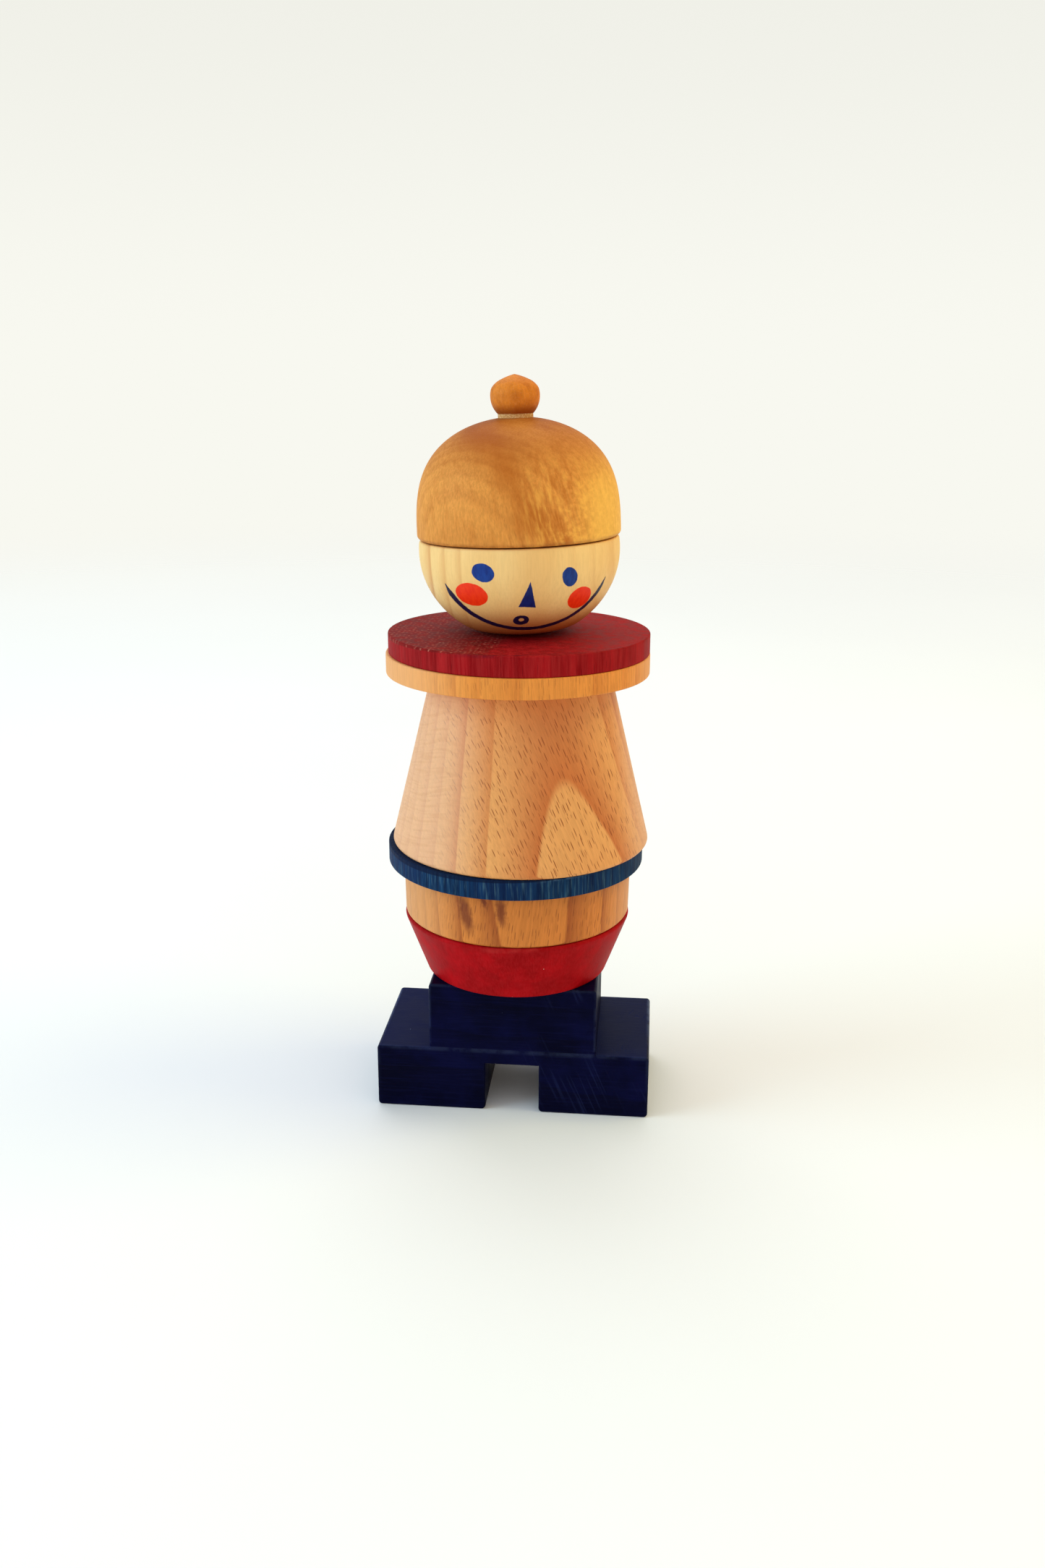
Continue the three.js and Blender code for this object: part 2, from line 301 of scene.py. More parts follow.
def new_group(name, inputs, outputs):
    """An empty node group with named inputs and their usual values, and named value outputs."""
    tree = bpy.data.node_groups.new(name, "ShaderNodeTree")
    for label, usual in inputs.items():
        kind = "NodeSocketVector" if isinstance(usual, tuple) else "NodeSocketFloat"
        socket = tree.interface.new_socket(name=label, in_out="INPUT", socket_type=kind)
        if not isinstance(usual, tuple):
            socket.default_value = usual
    for label in outputs:
        tree.interface.new_socket(name=label, in_out="OUTPUT", socket_type="NodeSocketFloat")
    given = tree.nodes.new("NodeGroupInput").outputs
    result = tree.nodes.new("NodeGroupOutput").inputs
    return tree, given, result


def use(tree, group, **sockets):
    """Places a node group. An input's name is written with _ for its spaces."""
    node = put(tree, "ShaderNodeGroup", node_tree=group)
    for label, value in sockets.items():
        plug(tree, node.inputs[label.replace("_", " ")], value)
    return node.outputs


def laid(tree, place, middle, rotation):
    """Moves a pattern's place so that middle becomes its origin, then turns it."""
    turn = rotation.to_3x3()
    shift = -(turn @ Vector(middle))
    sockets = {"Vector": place, "Location": shift, "Rotation": turn.to_euler()}
    return put(tree, "ShaderNodeMapping", sockets, vector_type="POINT").outputs[0]


def grain_turn(facing, slope=0.0, rise=0.0):
    """Turns wood so that the bark side faces an azimuth from the front, +X being positive.

    slope tips the fibres to the left as seen from the bark side, and rise tips the bark up.
    """
    spin = Matrix.Rotation(math.radians(180 - facing), 3, "Z")
    tip = Matrix.Rotation(math.radians(-slope), 3, "Y")
    lift = Matrix.Rotation(math.radians(-rise), 3, "X")
    return lift @ tip @ spin


# ---------------------------------------------------------------- effects, as node groups

def make_sawn_wood():
    """Wood that is solid right through: Z runs along the fibres and Y outward from the pith."""
    inputs = {
        "Place": (0, 0, 0),
        "Ring width": 5 * MM,
        "Pith distance": 120 * MM,
        "Waviness": 1.5 * MM,
        "Late sharpness": 2.2,
        "Late end": 0.05,
        "Fleck size": 1.0,
    }
    outputs = ("Rings", "Flecks", "Fibre", "Pores", "Silver", "Flank")
    tree, given, result = new_group("sawn_wood", inputs, outputs)
    place = given["Place"]

    slow = vector_maths(tree, "MULTIPLY", place, (1.0, 1.0, 0.3))
    wander = maths(tree, "SUBTRACT", noise(tree, slow, 45.0, 3.0), 0.5)
    wander = times(tree, wander, 2.0, given["Waviness"])
    across = vector_maths(tree, "MULTIPLY", place, (1.0, 1.0, 0.0))
    from_pith = vector_maths(tree, "ADD", across, join(tree, 0.0, given["Pith distance"], 0.0))
    distance = maths(tree, "ADD", vector_maths(tree, "LENGTH", from_pith), wander)
    count = maths(tree, "DIVIDE", distance, given["Ring width"])
    share = maths(tree, "FRACT", count)
    ring = put(tree, "ShaderNodeTexWhiteNoise", {"W": maths(tree, "FLOOR", count)}, noise_dimensions="1D")
    strength = ramp(tree, ring.outputs[0], 0.0, 1.0, 0.6, 1.0)
    late = maths(tree, "POWER", share, given["Late sharpness"])
    late_start = maths(tree, "SUBTRACT", 1.0, given["Late end"])
    late = times(tree, late, ramp(tree, share, 1.0, late_start), strength)
    x = split(tree, place)[0]
    sideways = maths(tree, "DIVIDE", maths(tree, "ABSOLUTE", x), vector_maths(tree, "LENGTH", across))
    plug(tree, result["Rings"], times(tree, late, ramp(tree, sideways, 0.72, 0.95, 1.0, 0.6)))

    cells = vector_maths(tree, "DIVIDE", place, (0.85 * MM, 0.9 * MM, 3.8 * MM))
    cells = vector_maths(tree, "DIVIDE", cells, join(tree, *[given["Fleck size"]] * 3))
    ray = put(tree, "ShaderNodeTexVoronoi", {"Vector": cells, "Scale": 1.0, "Randomness": 0.8})
    away = vector_maths(tree, "SUBTRACT", cells, ray.outputs["Position"])
    away = vector_maths(tree, "DIVIDE", away, (0.15, 0.75, 0.34))
    lens = ramp(tree, vector_maths(tree, "LENGTH", away), 1.0, 0.7)
    chance = split(tree, ray.outputs["Color"])[0]
    seldom = ramp(tree, sideways, 0.55, 0.98, 1.0, 0.25)
    plug(tree, result["Flecks"], times(tree, lens, ramp(tree, chance, 0.0, 0.7, 0.35, 1.0), seldom))

    fibres = vector_maths(tree, "MULTIPLY", place, (1.0, 1.0, 0.05))
    plug(tree, result["Fibre"], noise(tree, fibres, 2400.0, 3.0, 0.6))

    tubes = vector_maths(tree, "DIVIDE", place, (0.42 * MM, 0.42 * MM, 4.2 * MM))
    pore = put(tree, "ShaderNodeTexVoronoi", {"Vector": tubes, "Scale": 1.0})
    away = vector_maths(tree, "SUBTRACT", tubes, pore.outputs["Position"])
    away = vector_maths(tree, "DIVIDE", away, (0.22, 0.22, 0.4))
    dot = ramp(tree, vector_maths(tree, "LENGTH", away), 1.0, 0.4)
    open_pore = ramp(tree, split(tree, pore.outputs["Color"])[1], 0.3, 0.9)
    plug(tree, result["Pores"], times(tree, dot, open_pore))

    rays = vector_maths(tree, "DIVIDE", place, (5 * MM, 9 * MM, 0.6 * MM))
    bend = times(tree, noise(tree, place, 60.0, 1.0), 6.0)
    rays = vector_maths(tree, "ADD", rays, join(tree, 0.0, 0.0, bend))
    flank = ramp(tree, sideways, 0.55, 0.98)
    plug(tree, result["Flank"], flank)
    plug(tree, result["Silver"], times(tree, ramp(tree, noise(tree, rays, 1.0, 1.0), 0.45, 0.65), flank))
    return tree


def make_worn_rim():
    """A broken line of wear round a turned edge, at a radius and a height."""
    inputs = {"Place": (0, 0, 0), "Radius": 30 * MM, "Height": 0.0, "Width": 0.5 * MM}
    tree, given, result = new_group("worn_rim", inputs, ("Wear",))
    x, y, z = split(tree, given["Place"])
    radius = vector_maths(tree, "LENGTH", join(tree, x, y, 0.0))
    off_radius = maths(tree, "ABSOLUTE", maths(tree, "SUBTRACT", radius, given["Radius"]))
    off_height = maths(tree, "ABSOLUTE", maths(tree, "SUBTRACT", z, given["Height"]))
    off = maths(tree, "DIVIDE", maths(tree, "MAXIMUM", off_radius, off_height), given["Width"])
    broken = ramp(tree, noise(tree, given["Place"], 420.0, 4.0, 0.65), 0.32, 0.62)
    plug(tree, result["Wear"], times(tree, ramp(tree, off, 1.0, 0.2), broken))
    return tree


def make_worn_corner():
    """Wear along the edges of a box about the origin, with half its size in Half."""
    inputs = {"Place": (0, 0, 0), "Half": (0, 0, 0), "Width": 0.8 * MM}
    tree, given, result = new_group("worn_corner", inputs, ("Wear",))
    inward = vector_maths(tree, "SUBTRACT", given["Half"], vector_maths(tree, "ABSOLUTE", given["Place"]))
    x, y, z = split(tree, inward)
    least = maths(tree, "MINIMUM", maths(tree, "MINIMUM", x, y), z)
    most = maths(tree, "MAXIMUM", maths(tree, "MAXIMUM", x, y), z)
    total = maths(tree, "ADD", maths(tree, "ADD", x, y), z)
    second = maths(tree, "SUBTRACT", maths(tree, "SUBTRACT", total, least), most)
    off = maths(tree, "DIVIDE", second, given["Width"])
    inside = maths(tree, "GREATER_THAN", least, -0.4 * MM)
    broken = ramp(tree, noise(tree, given["Place"], 260.0, 4.0, 0.65), 0.3, 0.6)
    plug(tree, result["Wear"], times(tree, ramp(tree, off, 1.0, 0.15), inside, broken))
    return tree


def make_dust():
    """A few small pale specks, Spacing apart on average."""
    inputs = {"Place": (0, 0, 0), "Spacing": 3 * MM, "Size": 0.12, "Share": 0.3}
    tree, given, result = new_group("dust_specks", inputs, ("Specks",))
    cells = vector_maths(tree, "DIVIDE", given["Place"], join(tree, *[given["Spacing"]] * 3))
    cell = put(tree, "ShaderNodeTexVoronoi", {"Vector": cells, "Scale": 1.0})
    chance, bigness, _ = split(tree, cell.outputs["Color"])
    size = times(tree, given["Size"], ramp(tree, bigness, 0.0, 1.0, 0.4, 1.0))
    off = maths(tree, "DIVIDE", cell.outputs["Distance"], size)
    kept = maths(tree, "LESS_THAN", chance, given["Share"])
    plug(tree, result["Specks"], times(tree, ramp(tree, off, 1.0, 0.5), kept))
    return tree


def make_painted_spot():
    """A hand-painted oval on the face. Middle and Half are across and up."""
    inputs = {"Place": (0, 0, 0), "Middle": (0, 0, 0), "Half": (0, 0, 0), "Tilt": 0.0}
    tree, given, result = new_group("painted_spot", inputs, ("Paint",))
    off = vector_maths(tree, "SUBTRACT", given["Place"], given["Middle"])
    turned = turned_about_y(tree, off, given["Tilt"])
    flat = vector_maths(tree, "MULTIPLY", turned, (1.0, 0.0, 1.0))
    reach = vector_maths(tree, "LENGTH", vector_maths(tree, "DIVIDE", flat, given["Half"]))
    plug(tree, result["Paint"], ramp(tree, reach, 1.02, 0.97))
    return tree


SAWN_WOOD = make_sawn_wood()
WORN_RIM = make_worn_rim()
WORN_CORNER = make_worn_corner()
DUST = make_dust()
PAINTED_SPOT = make_painted_spot()

# ---------------------------------------------------------------- finishes

def start_finish(name, roughness=0.5, specular=0.22):
    """A new material with its tree, and the place on the piece that its patterns read."""
    finish = bpy.data.materials.new(name)
    finish.use_nodes = True
    tree = finish.node_tree
    shader = tree.nodes["Principled BSDF"]
    shader.inputs["Roughness"].default_value = roughness
    shader.inputs["Specular IOR Level"].default_value = specular
    place = tree.nodes.new("ShaderNodeTexCoord").outputs["Object"]
    return finish, tree, place


def complete(finish, colour, rough, height, depth):
    """Gives a finish its colour, its roughness and a surface that a height of 1 raises by depth."""
    tree = finish.node_tree
    shader = tree.nodes["Principled BSDF"]
    plug(tree, shader.inputs["Base Color"], colour)
    plug(tree, shader.inputs["Roughness"], rough)
    bump = put(tree, "ShaderNodeBump", {"Height": height, "Distance": depth, "Strength": 1.0})
    plug(tree, shader.inputs["Normal"], bump.outputs[0])
    return finish


def over(tree, colour, mask, strength, card):
    """Lays a card's colour over another one where the mask is high."""
    return mix(tree, times(tree, mask, strength), colour, paint(*card))


def oiled_wood(tree, place, colours, grain, marks, rings=None):
    """Bare oiled wood: (colour, roughness, height, wood's own outputs).

    colours are the early wood, the late wood, the flecks and the pores. marks are the strengths
    of the rings, the flecks, the pores and the fibres. rings takes the place of the wood's own,
    where they don't run along its fibres.
    """
    early, late, fleck, pore = colours
    ring_mark, fleck_mark, pore_mark, fibre_mark = marks
    wood = use(tree, SAWN_WOOD, Place=place, **grain)
    if rings is None:
        rings = wood["Rings"]
    colour = mix(tree, times(tree, rings, ring_mark), early, late)
    fibre = ramp(tree, wood["Fibre"], 0.3, 0.7)
    shade = ramp(tree, fibre, 0.0, 1.0, 1.0 - fibre_mark, 1.0)
    colour = mix(tree, 1.0, colour, join(tree, shade, shade, shade), "MULTIPLY")
    colour = mix(tree, times(tree, wood["Pores"], pore_mark), colour, pore)
    colour = mix(tree, times(tree, wood["Flecks"], fleck_mark), colour, fleck)
    rough = ramp(tree, fibre, 0.0, 1.0, 0.62, 0.48)
    dents = maths(tree, "ADD", times(tree, wood["Flecks"], 0.6), times(tree, wood["Pores"], 0.5))
    height = maths(tree, "SUBTRACT", times(tree, fibre, 0.35), dents)
    return colour, rough, height, wood


def finish_torso():
    """Rosy beech: wide growth bands, an arch at the lower right and short dark ray flecks. Its pale flank at
    the left is partly the quartersawn face's own tone and partly painted light from the left.
    """
    finish, tree, place = start_finish("rosy_beech")
    middle = centre_of("torso_cone")
    ring_place = laid(tree, place, middle, grain_turn(25.3, -7.1, 11.4))
    ring_shape = {"Ring_width": 2.8 * MM, "Pith_distance": 30.9 * MM, "Waviness": 0.22 * MM}
    ringed = use(tree, SAWN_WOOD, Place=ring_place, Late_sharpness=1.8, **ring_shape)
    wood_place = laid(tree, place, middle, grain_turn(25.3, 20, 11.4))
    colours = (paint(232, 166, 98), paint(196, 106, 50), paint(130, 54, 18), paint(166, 90, 42))
    marks = (1.0, 0.8, 0.3, 0.12)
    colour, rough, height, _ = oiled_wood(tree, wood_place, colours, {}, marks, ringed["Rings"])
    broad = ramp(tree, noise(tree, wood_place, 38.0, 2.0), 0.35, 0.7)
    colour = over(tree, colour, broad, 0.25, (216, 134, 78))
    # painted light: the pale flank faces the left and stands partly for the window's light and sheen there,
    # partly for the quartersawn face's own paler tone
    colour = over(tree, colour, ringed["Flank"], 0.5, (226, 186, 156))
    colour = over(tree, colour, ringed["Silver"], 0.22, (198, 136, 92))
    return complete(finish, colour, rough, height, 0.05 * MM)


def finish_barrel():
    """Golden beech with upright growth lines and two dark smudges near the front. Its pale flank at the left
    is partly the quartersawn face's own tone and partly painted light from the left.
    """
    finish, tree, place = start_finish("oiled_beech_barrel")
    middle = centre_of("belly_barrel")
    wood_place = laid(tree, place, middle, grain_turn(14, -6))
    colours = (paint(212, 128, 54), paint(148, 66, 20), paint(114, 50, 14), paint(140, 68, 22))
    grain = {"Ring_width": 3.1 * MM, "Pith_distance": 0.07, "Waviness": 1.2 * MM, "Late_sharpness": 3.0}
    colour, rough, height, wood = oiled_wood(tree, wood_place, colours, grain, (1.0, 0.5, 0.3, 0.14))
    # painted light: the pale flank faces the left and stands partly for the window's light and sheen there,
    # partly for the quartersawn face's own paler tone
    colour = over(tree, colour, wood["Flank"], 0.45, (222, 170, 116))
    centred = laid(tree, place, middle, Matrix.Identity(3))
    smudges = (
        ((-9.3 * MM, 0.0, 1.2 * MM), (2.0 * MM, 1.0, 6.4 * MM), 0.22),
        ((-1.0 * MM, 0.0, 2.4 * MM), (1.7 * MM, 1.0, 4.6 * MM), 0.08),
        ((-4.9 * MM, 0.0, 4.6 * MM), (0.8 * MM, 1.0, 2.0 * MM), 0.2),
    )
    ragged = maths(tree, "SUBTRACT", noise(tree, wood_place, 500.0, 4.0, 0.7), 0.5)
    x, y, z = split(tree, centred)
    front = maths(tree, "LESS_THAN", y, 0.0)
    wobbly = join(tree, maths(tree, "ADD", x, times(tree, ragged, 2.0 * MM)), 0.0, z)
    for spot, half, tilt in smudges:
        off = vector_maths(tree, "SUBTRACT", wobbly, spot)
        turned = turned_about_y(tree, off, tilt)
        reach = vector_maths(tree, "LENGTH", vector_maths(tree, "DIVIDE", turned, half))
        stain = times(tree, ramp(tree, reach, 1.05, 0.3), front, 0.8)
        colour = mix(tree, stain, colour, paint(104, 36, 14))
    return complete(finish, colour, rough, height, 0.04 * MM)


def finish_lower_collar():
    """Golden beech disc, cut across the grain, with short brown upright streaks round its side. Its pale
    flank at the left is partly the quartersawn face's own tone and partly painted light from the left.
    """
    finish, tree, place = start_finish("oiled_beech_collar")
    middle = centre_of("lower_collar")
    wood_place = laid(tree, place, middle, grain_turn(22, 3))
    colours = (paint(234, 149, 63), paint(200, 104, 32), paint(160, 86, 32), paint(166, 92, 38))
    grain = {"Ring_width": 2.6 * MM, "Pith_distance": 0.09, "Waviness": 0.8 * MM, "Fleck_size": 0.9}
    colour, rough, height, wood = oiled_wood(tree, wood_place, colours, grain, (0.5, 0.35, 0.4, 0.16))
    # painted light: the pale flank faces the left and stands partly for the window's light and sheen there,
    # partly for the quartersawn face's own paler tone
    colour = over(tree, colour, wood["Flank"], 0.5, (232, 178, 124))
    return complete(finish, colour, rough, height, 0.04 * MM)


def finish_post():
    """Bare dowel, straight grained."""
    finish, tree, place = start_finish("bare_dowel")
    wood_place = laid(tree, place, (middle_of("post"), 0, 0), grain_turn(40, 1))
    colours = (paint(226, 192, 146), paint(200, 156, 106), paint(176, 128, 82), paint(170, 124, 80))
    grain = {"Ring_width": 2.2 * MM, "Pith_distance": 0.05, "Waviness": 0.4 * MM, "Fleck_size": 0.6}
    colour, rough, height, _ = oiled_wood(tree, wood_place, colours, grain, (0.8, 0.5, 0.4, 0.15))
    return complete(finish, colour, maths(tree, "ADD", rough, 0.08), height, 0.04 * MM)


def finish_bowl():
    """Red stain with a satin polish, clouded, with a few tiny white specks and a paler top edge."""
    finish, tree, place = start_finish("red_stain_bowl", specular=0.04)
    wood_place = laid(tree, place, (middle_of("hip_bowl"), 0, 0), grain_turn(10, 4))
    wood = use(tree, SAWN_WOOD, Place=wood_place, Ring_width=4 * MM, Waviness=1.5 * MM)
    cloud = ramp(tree, noise(tree, wood_place, 170.0, 5.0, 0.6), 0.35, 0.68)
    colour = mix(tree, cloud, paint(146, 2, 8), paint(174, 8, 18))
    fibre = ramp(tree, wood["Fibre"], 0.35, 0.7)
    colour = over(tree, colour, fibre, 0.2, (194, 40, 46))
    colour = over(tree, colour, wood["Rings"], 0.25, (120, 4, 10))
    rim_size = {"Radius": BOWL_RADII[1] - 0.5 * MM, "Height": top_of("hip_bowl"), "Width": 1.3 * MM}
    rim = use(tree, WORN_RIM, Place=wood_place, **rim_size)
    colour = over(tree, colour, rim["Wear"], 0.22, (204, 74, 70))
    specks = use(tree, DUST, Place=place, Spacing=2.6 * MM, Size=0.05, Share=0.3)["Specks"]
    colour = mix(tree, specks, colour, paint(236, 190, 176))
    rough = ramp(tree, cloud, 0.0, 1.0, 0.44, 0.54)
    height = maths(tree, "ADD", times(tree, fibre, 0.3), times(tree, cloud, 0.5))
    return complete(finish, colour, rough, height, 0.03 * MM)


def finish_upper_collar():
    """Red stained disc, cut across the grain: upright streaks round it, pale open pores on top."""
    finish, tree, place = start_finish("red_stain_collar", specular=0.025)
    top = top_of("upper_collar")
    wood_place = laid(tree, place, (middle_of("upper_collar"), 0, 0), grain_turn(-8, 2))
    grain = {"Ring_width": 3.2 * MM, "Waviness": 1.2 * MM, "Late_sharpness": 1.5}
    wood = use(tree, SAWN_WOOD, Place=wood_place, **grain)
    fibre = ramp(tree, wood["Fibre"], 0.3, 0.72)
    stretched = vector_maths(tree, "MULTIPLY", wood_place, (1, 1, 0.04))
    streak = ramp(tree, noise(tree, stretched, 420.0, 4.0), 0.35, 0.68)
    colour = mix(tree, streak, paint(128, 8, 14), paint(158, 20, 26))
    colour = over(tree, colour, fibre, 0.3, (190, 58, 58))
    colour = over(tree, colour, wood["Rings"], 0.2, (108, 6, 14))
    colour = over(tree, colour, wood["Pores"], 0.45, (80, 4, 10))

    on_top = ramp(tree, split(tree, wood_place)[2], top - 0.1 * MM, top - 0.01 * MM)
    dull = mix(tree, streak, paint(104, 18, 18), paint(130, 30, 28))
    colour = mix(tree, times(tree, on_top, 0.75), colour, dull)
    rows = vector_maths(tree, "DIVIDE", place, (1.0 * MM, 0.7 * MM, 1.0))
    pore = put(tree, "ShaderNodeTexVoronoi", {"Vector": rows, "Scale": 1.0}, voronoi_dimensions="2D")
    away = vector_maths(tree, "SUBTRACT", rows, pore.outputs["Position"])
    away = vector_maths(tree, "DIVIDE", away, (0.42, 0.26, 1.0))
    dot = ramp(tree, vector_maths(tree, "LENGTH", away), 1.0, 0.3)
    patch = ramp(tree, noise(tree, place, 90.0, 3.0), 0.28, 0.52, 0.7, 1.0)
    chance = ramp(tree, split(tree, pore.outputs["Color"])[0], 0.2, 0.9)
    pale = times(tree, dot, patch, chance, on_top)
    colour = over(tree, colour, pale, 0.6, (214, 132, 112))

    radius = radius_of("upper_collar")
    rim = use(tree, WORN_RIM, Place=wood_place, Radius=radius, Height=top, Width=0.9 * MM)
    colour = over(tree, colour, rim["Wear"], 0.5, (70, 16, 34))
    rough = ramp(tree, streak, 0.0, 1.0, 0.46, 0.58)
    height = maths(tree, "SUBTRACT", times(tree, fibre, 0.4), maths(tree, "ADD", pale, wood["Pores"]))
    return complete(finish, colour, rough, height, 0.04 * MM)


def finish_belt():
    """Blue stained disc with fine pale and dark upright streaks."""
    finish, tree, place = start_finish("blue_stain_belt", specular=0.04)
    top = top_of("belt_disc")
    wood_place = laid(tree, place, (middle_of("belt_disc"), 0, 0), grain_turn(30, 2))
    wood = use(tree, SAWN_WOOD, Place=wood_place, Ring_width=2.4 * MM, Waviness=1.0 * MM)
    stretched = vector_maths(tree, "MULTIPLY", wood_place, (1.0, 1.0, 0.05))
    streak = ramp(tree, noise(tree, stretched, 900.0, 5.0, 0.65), 0.34, 0.7)
    band = ramp(tree, noise(tree, stretched, 120.0, 3.0), 0.35, 0.65)
    colour = mix(tree, streak, paint(6, 26, 56), paint(22, 60, 98))
    colour = over(tree, colour, band, 0.45, (12, 36, 80))
    fibre = ramp(tree, wood["Fibre"], 0.5, 0.78)
    colour = over(tree, colour, fibre, 0.5, (84, 124, 142))
    colour = over(tree, colour, wood["Pores"], 0.6, (8, 20, 52))
    on_top = ramp(tree, split(tree, wood_place)[2], top - 0.25 * MM, top - 0.05 * MM)
    colour = over(tree, colour, on_top, 0.8, (8, 20, 48))
    radius = radius_of("belt_disc")
    rim = use(tree, WORN_RIM, Place=wood_place, Radius=radius, Height=top, Width=0.6 * MM)
    colour = over(tree, colour, rim["Wear"], 0.4, (104, 140, 178))
    rough = ramp(tree, streak, 0.0, 1.0, 0.52, 0.64)
    return complete(finish, colour, rough, maths(tree, "SUBTRACT", streak, wood["Pores"]), 0.04 * MM)


def finish_block():
    """Navy stain on flat-sawn wood laid crosswise, scratched and worn pale along its edges, with a painted
    sheen lightening the tops of its feet.
    """
    finish, tree, place = start_finish("navy_stain_block", specular=0.03)
    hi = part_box("feet_block")[1]
    crosswise = Matrix.Rotation(math.radians(90), 3, "Y") @ Matrix.Rotation(math.radians(180), 3, "Z")
    wood_place = laid(tree, place, (0, 0, 0), crosswise)
    grain = {"Ring_width": 3.4 * MM, "Pith_distance": 0.03, "Waviness": 2.4 * MM}
    wood = use(tree, SAWN_WOOD, Place=wood_place, **grain)
    cloud = ramp(tree, noise(tree, place, 95.0, 5.0, 0.6), 0.34, 0.68)
    colour = mix(tree, cloud, paint(2, 3, 30), paint(6, 8, 48))
    colour = over(tree, colour, wood["Rings"], 0.6, (3, 3, 18))
    fibre = ramp(tree, wood["Fibre"], 0.45, 0.75)
    colour = over(tree, colour, fibre, 0.2, (20, 24, 72))

    x, y, z = split(tree, place)
    foot_half = Vector((hi.x, hi.y, BLOCK_FOOT_HEIGHT / 2))
    hip_half = Vector((BLOCK_HIP_WIDTH / 2, hi.y, hi.z / 2))
    foot_place = laid(tree, place, (0, 0, foot_half.z), Matrix.Identity(3))
    hip_place = laid(tree, place, (0, 0, hip_half.z), Matrix.Identity(3))
    foot_wear = use(tree, WORN_CORNER, Place=foot_place, Half=foot_half, Width=1.0 * MM)["Wear"]
    hip_wear = use(tree, WORN_CORNER, Place=hip_place, Half=hip_half, Width=0.8 * MM)["Wear"]
    above = maths(tree, "GREATER_THAN", z, BLOCK_FOOT_HEIGHT + 1.0 * MM)
    wear = maths(tree, "MAXIMUM", foot_wear, times(tree, hip_wear, above))
    # painted sheen: the tops of the feet, outside the hips, are painted a lighter blue where they catch the
    # bright backdrop
    foot_top_sheen = ramp(tree, z, BLOCK_FOOT_HEIGHT - 0.15 * MM, BLOCK_FOOT_HEIGHT - 0.03 * MM)
    outside = maths(tree, "GREATER_THAN", maths(tree, "ABSOLUTE", x), hip_half.x + 0.05 * MM)
    colour = mix(tree, times(tree, foot_top_sheen, outside, 0.5), colour, paint(26, 36, 82))
    back = ramp(tree, y, -15 * MM, 14 * MM, 0.06, 0.4)
    high = ramp(tree, z, 4 * MM, 15 * MM, 0.15, 1.0)
    colour = mix(tree, times(tree, wear, back, high), colour, paint(112, 132, 176))

    slanted = laid(tree, place, (0, 0, 0), Matrix.Rotation(math.radians(24), 3, "Y"))
    lines = noise(tree, vector_maths(tree, "MULTIPLY", slanted, (1.0, 0.3, 0.035)), 1500.0, 2.0, 0.4)
    patch = ramp(tree, noise(tree, place, 70.0, 2.0), 0.5, 0.66)
    right = ramp(tree, x, -2 * MM, 10 * MM)
    scratch = times(tree, ramp(tree, lines, 0.56, 0.70), patch, right)
    colour = over(tree, colour, scratch, 0.09, (62, 76, 132))
    specks = use(tree, DUST, Place=place, Spacing=2.4 * MM, Size=0.045, Share=0.22)["Specks"]
    colour = over(tree, colour, specks, 0.8, (150, 165, 205))
    rough = ramp(tree, cloud, 0.0, 1.0, 0.36, 0.5)
    rough = maths(tree, "ADD", rough, times(tree, scratch, 0.2))
    height = maths(tree, "SUBTRACT", times(tree, fibre, 0.4), scratch)
    return complete(finish, colour, rough, height, 0.03 * MM)


# the face: middle (across, up from the head's foot), half sizes and tilt of each painted oval
FACE_TURN = math.radians(10.2)
EYES = (
    ((-9.5, 15.8), (2.4, 1.95), -24.0),
    ((9.0, 14.2), (1.72, 2.15), 8.0),
)
CHEEKS = (
    ((-11.9, 10.85), (3.45, 2.5), -20.0),
    ((11.4, 9.1), (2.95, 2.3), 34.0),
)
MOUTH = ((-1.45, 4.8), (1.75, 1.22), 5.0)
MOUTH_HOLE = ((-1.4, 4.9), (0.62, 0.42), 5.0)
NOSE = ((0.45, 13.8), (1.6, 7.8), (-2.15, 8.1))
SMILE_MIDDLE = (0.1, 18.8)
SMILE_HALF = (18.8, 16.35)
SMILE_ENDS = math.radians(68.5)
SMILE_STROKE = (0.44, 0.36)


def across_and_up(pair, depth=0.0):
    """A pair in millimetres as a place on the face."""
    return (pair[0] * MM, depth, pair[1] * MM)


def painted(tree, place, shapes):
    """The paint of several ovals together."""
    total = 0.0
    for middle, half, tilt in shapes:
        spot = use(
            tree,
            PAINTED_SPOT,
            Place=place,
            Middle=across_and_up(middle),
            Half=across_and_up(half, 1.0),
            Tilt=math.radians(tilt),
        )
        total = maths(tree, "MAXIMUM", spot["Paint"], total)
    return total


def painted_nose(tree, place):
    """A narrow triangle, standing on its short side. Its corners run clockwise."""
    total = 1.0
    for here, there in zip(NOSE, NOSE[1:] + NOSE[:1]):
        along = Vector(there) - Vector(here)
        inward = Vector((-along.y, along.x)).normalized() * -1
        off = vector_maths(tree, "SUBTRACT", place, across_and_up(here))
        x, _, z = split(tree, off)
        inside = maths(tree, "ADD", times(tree, x, inward.x), times(tree, z, inward.y))
        total = times(tree, total, ramp(tree, inside, -0.06 * MM, 0.06 * MM))
    return total


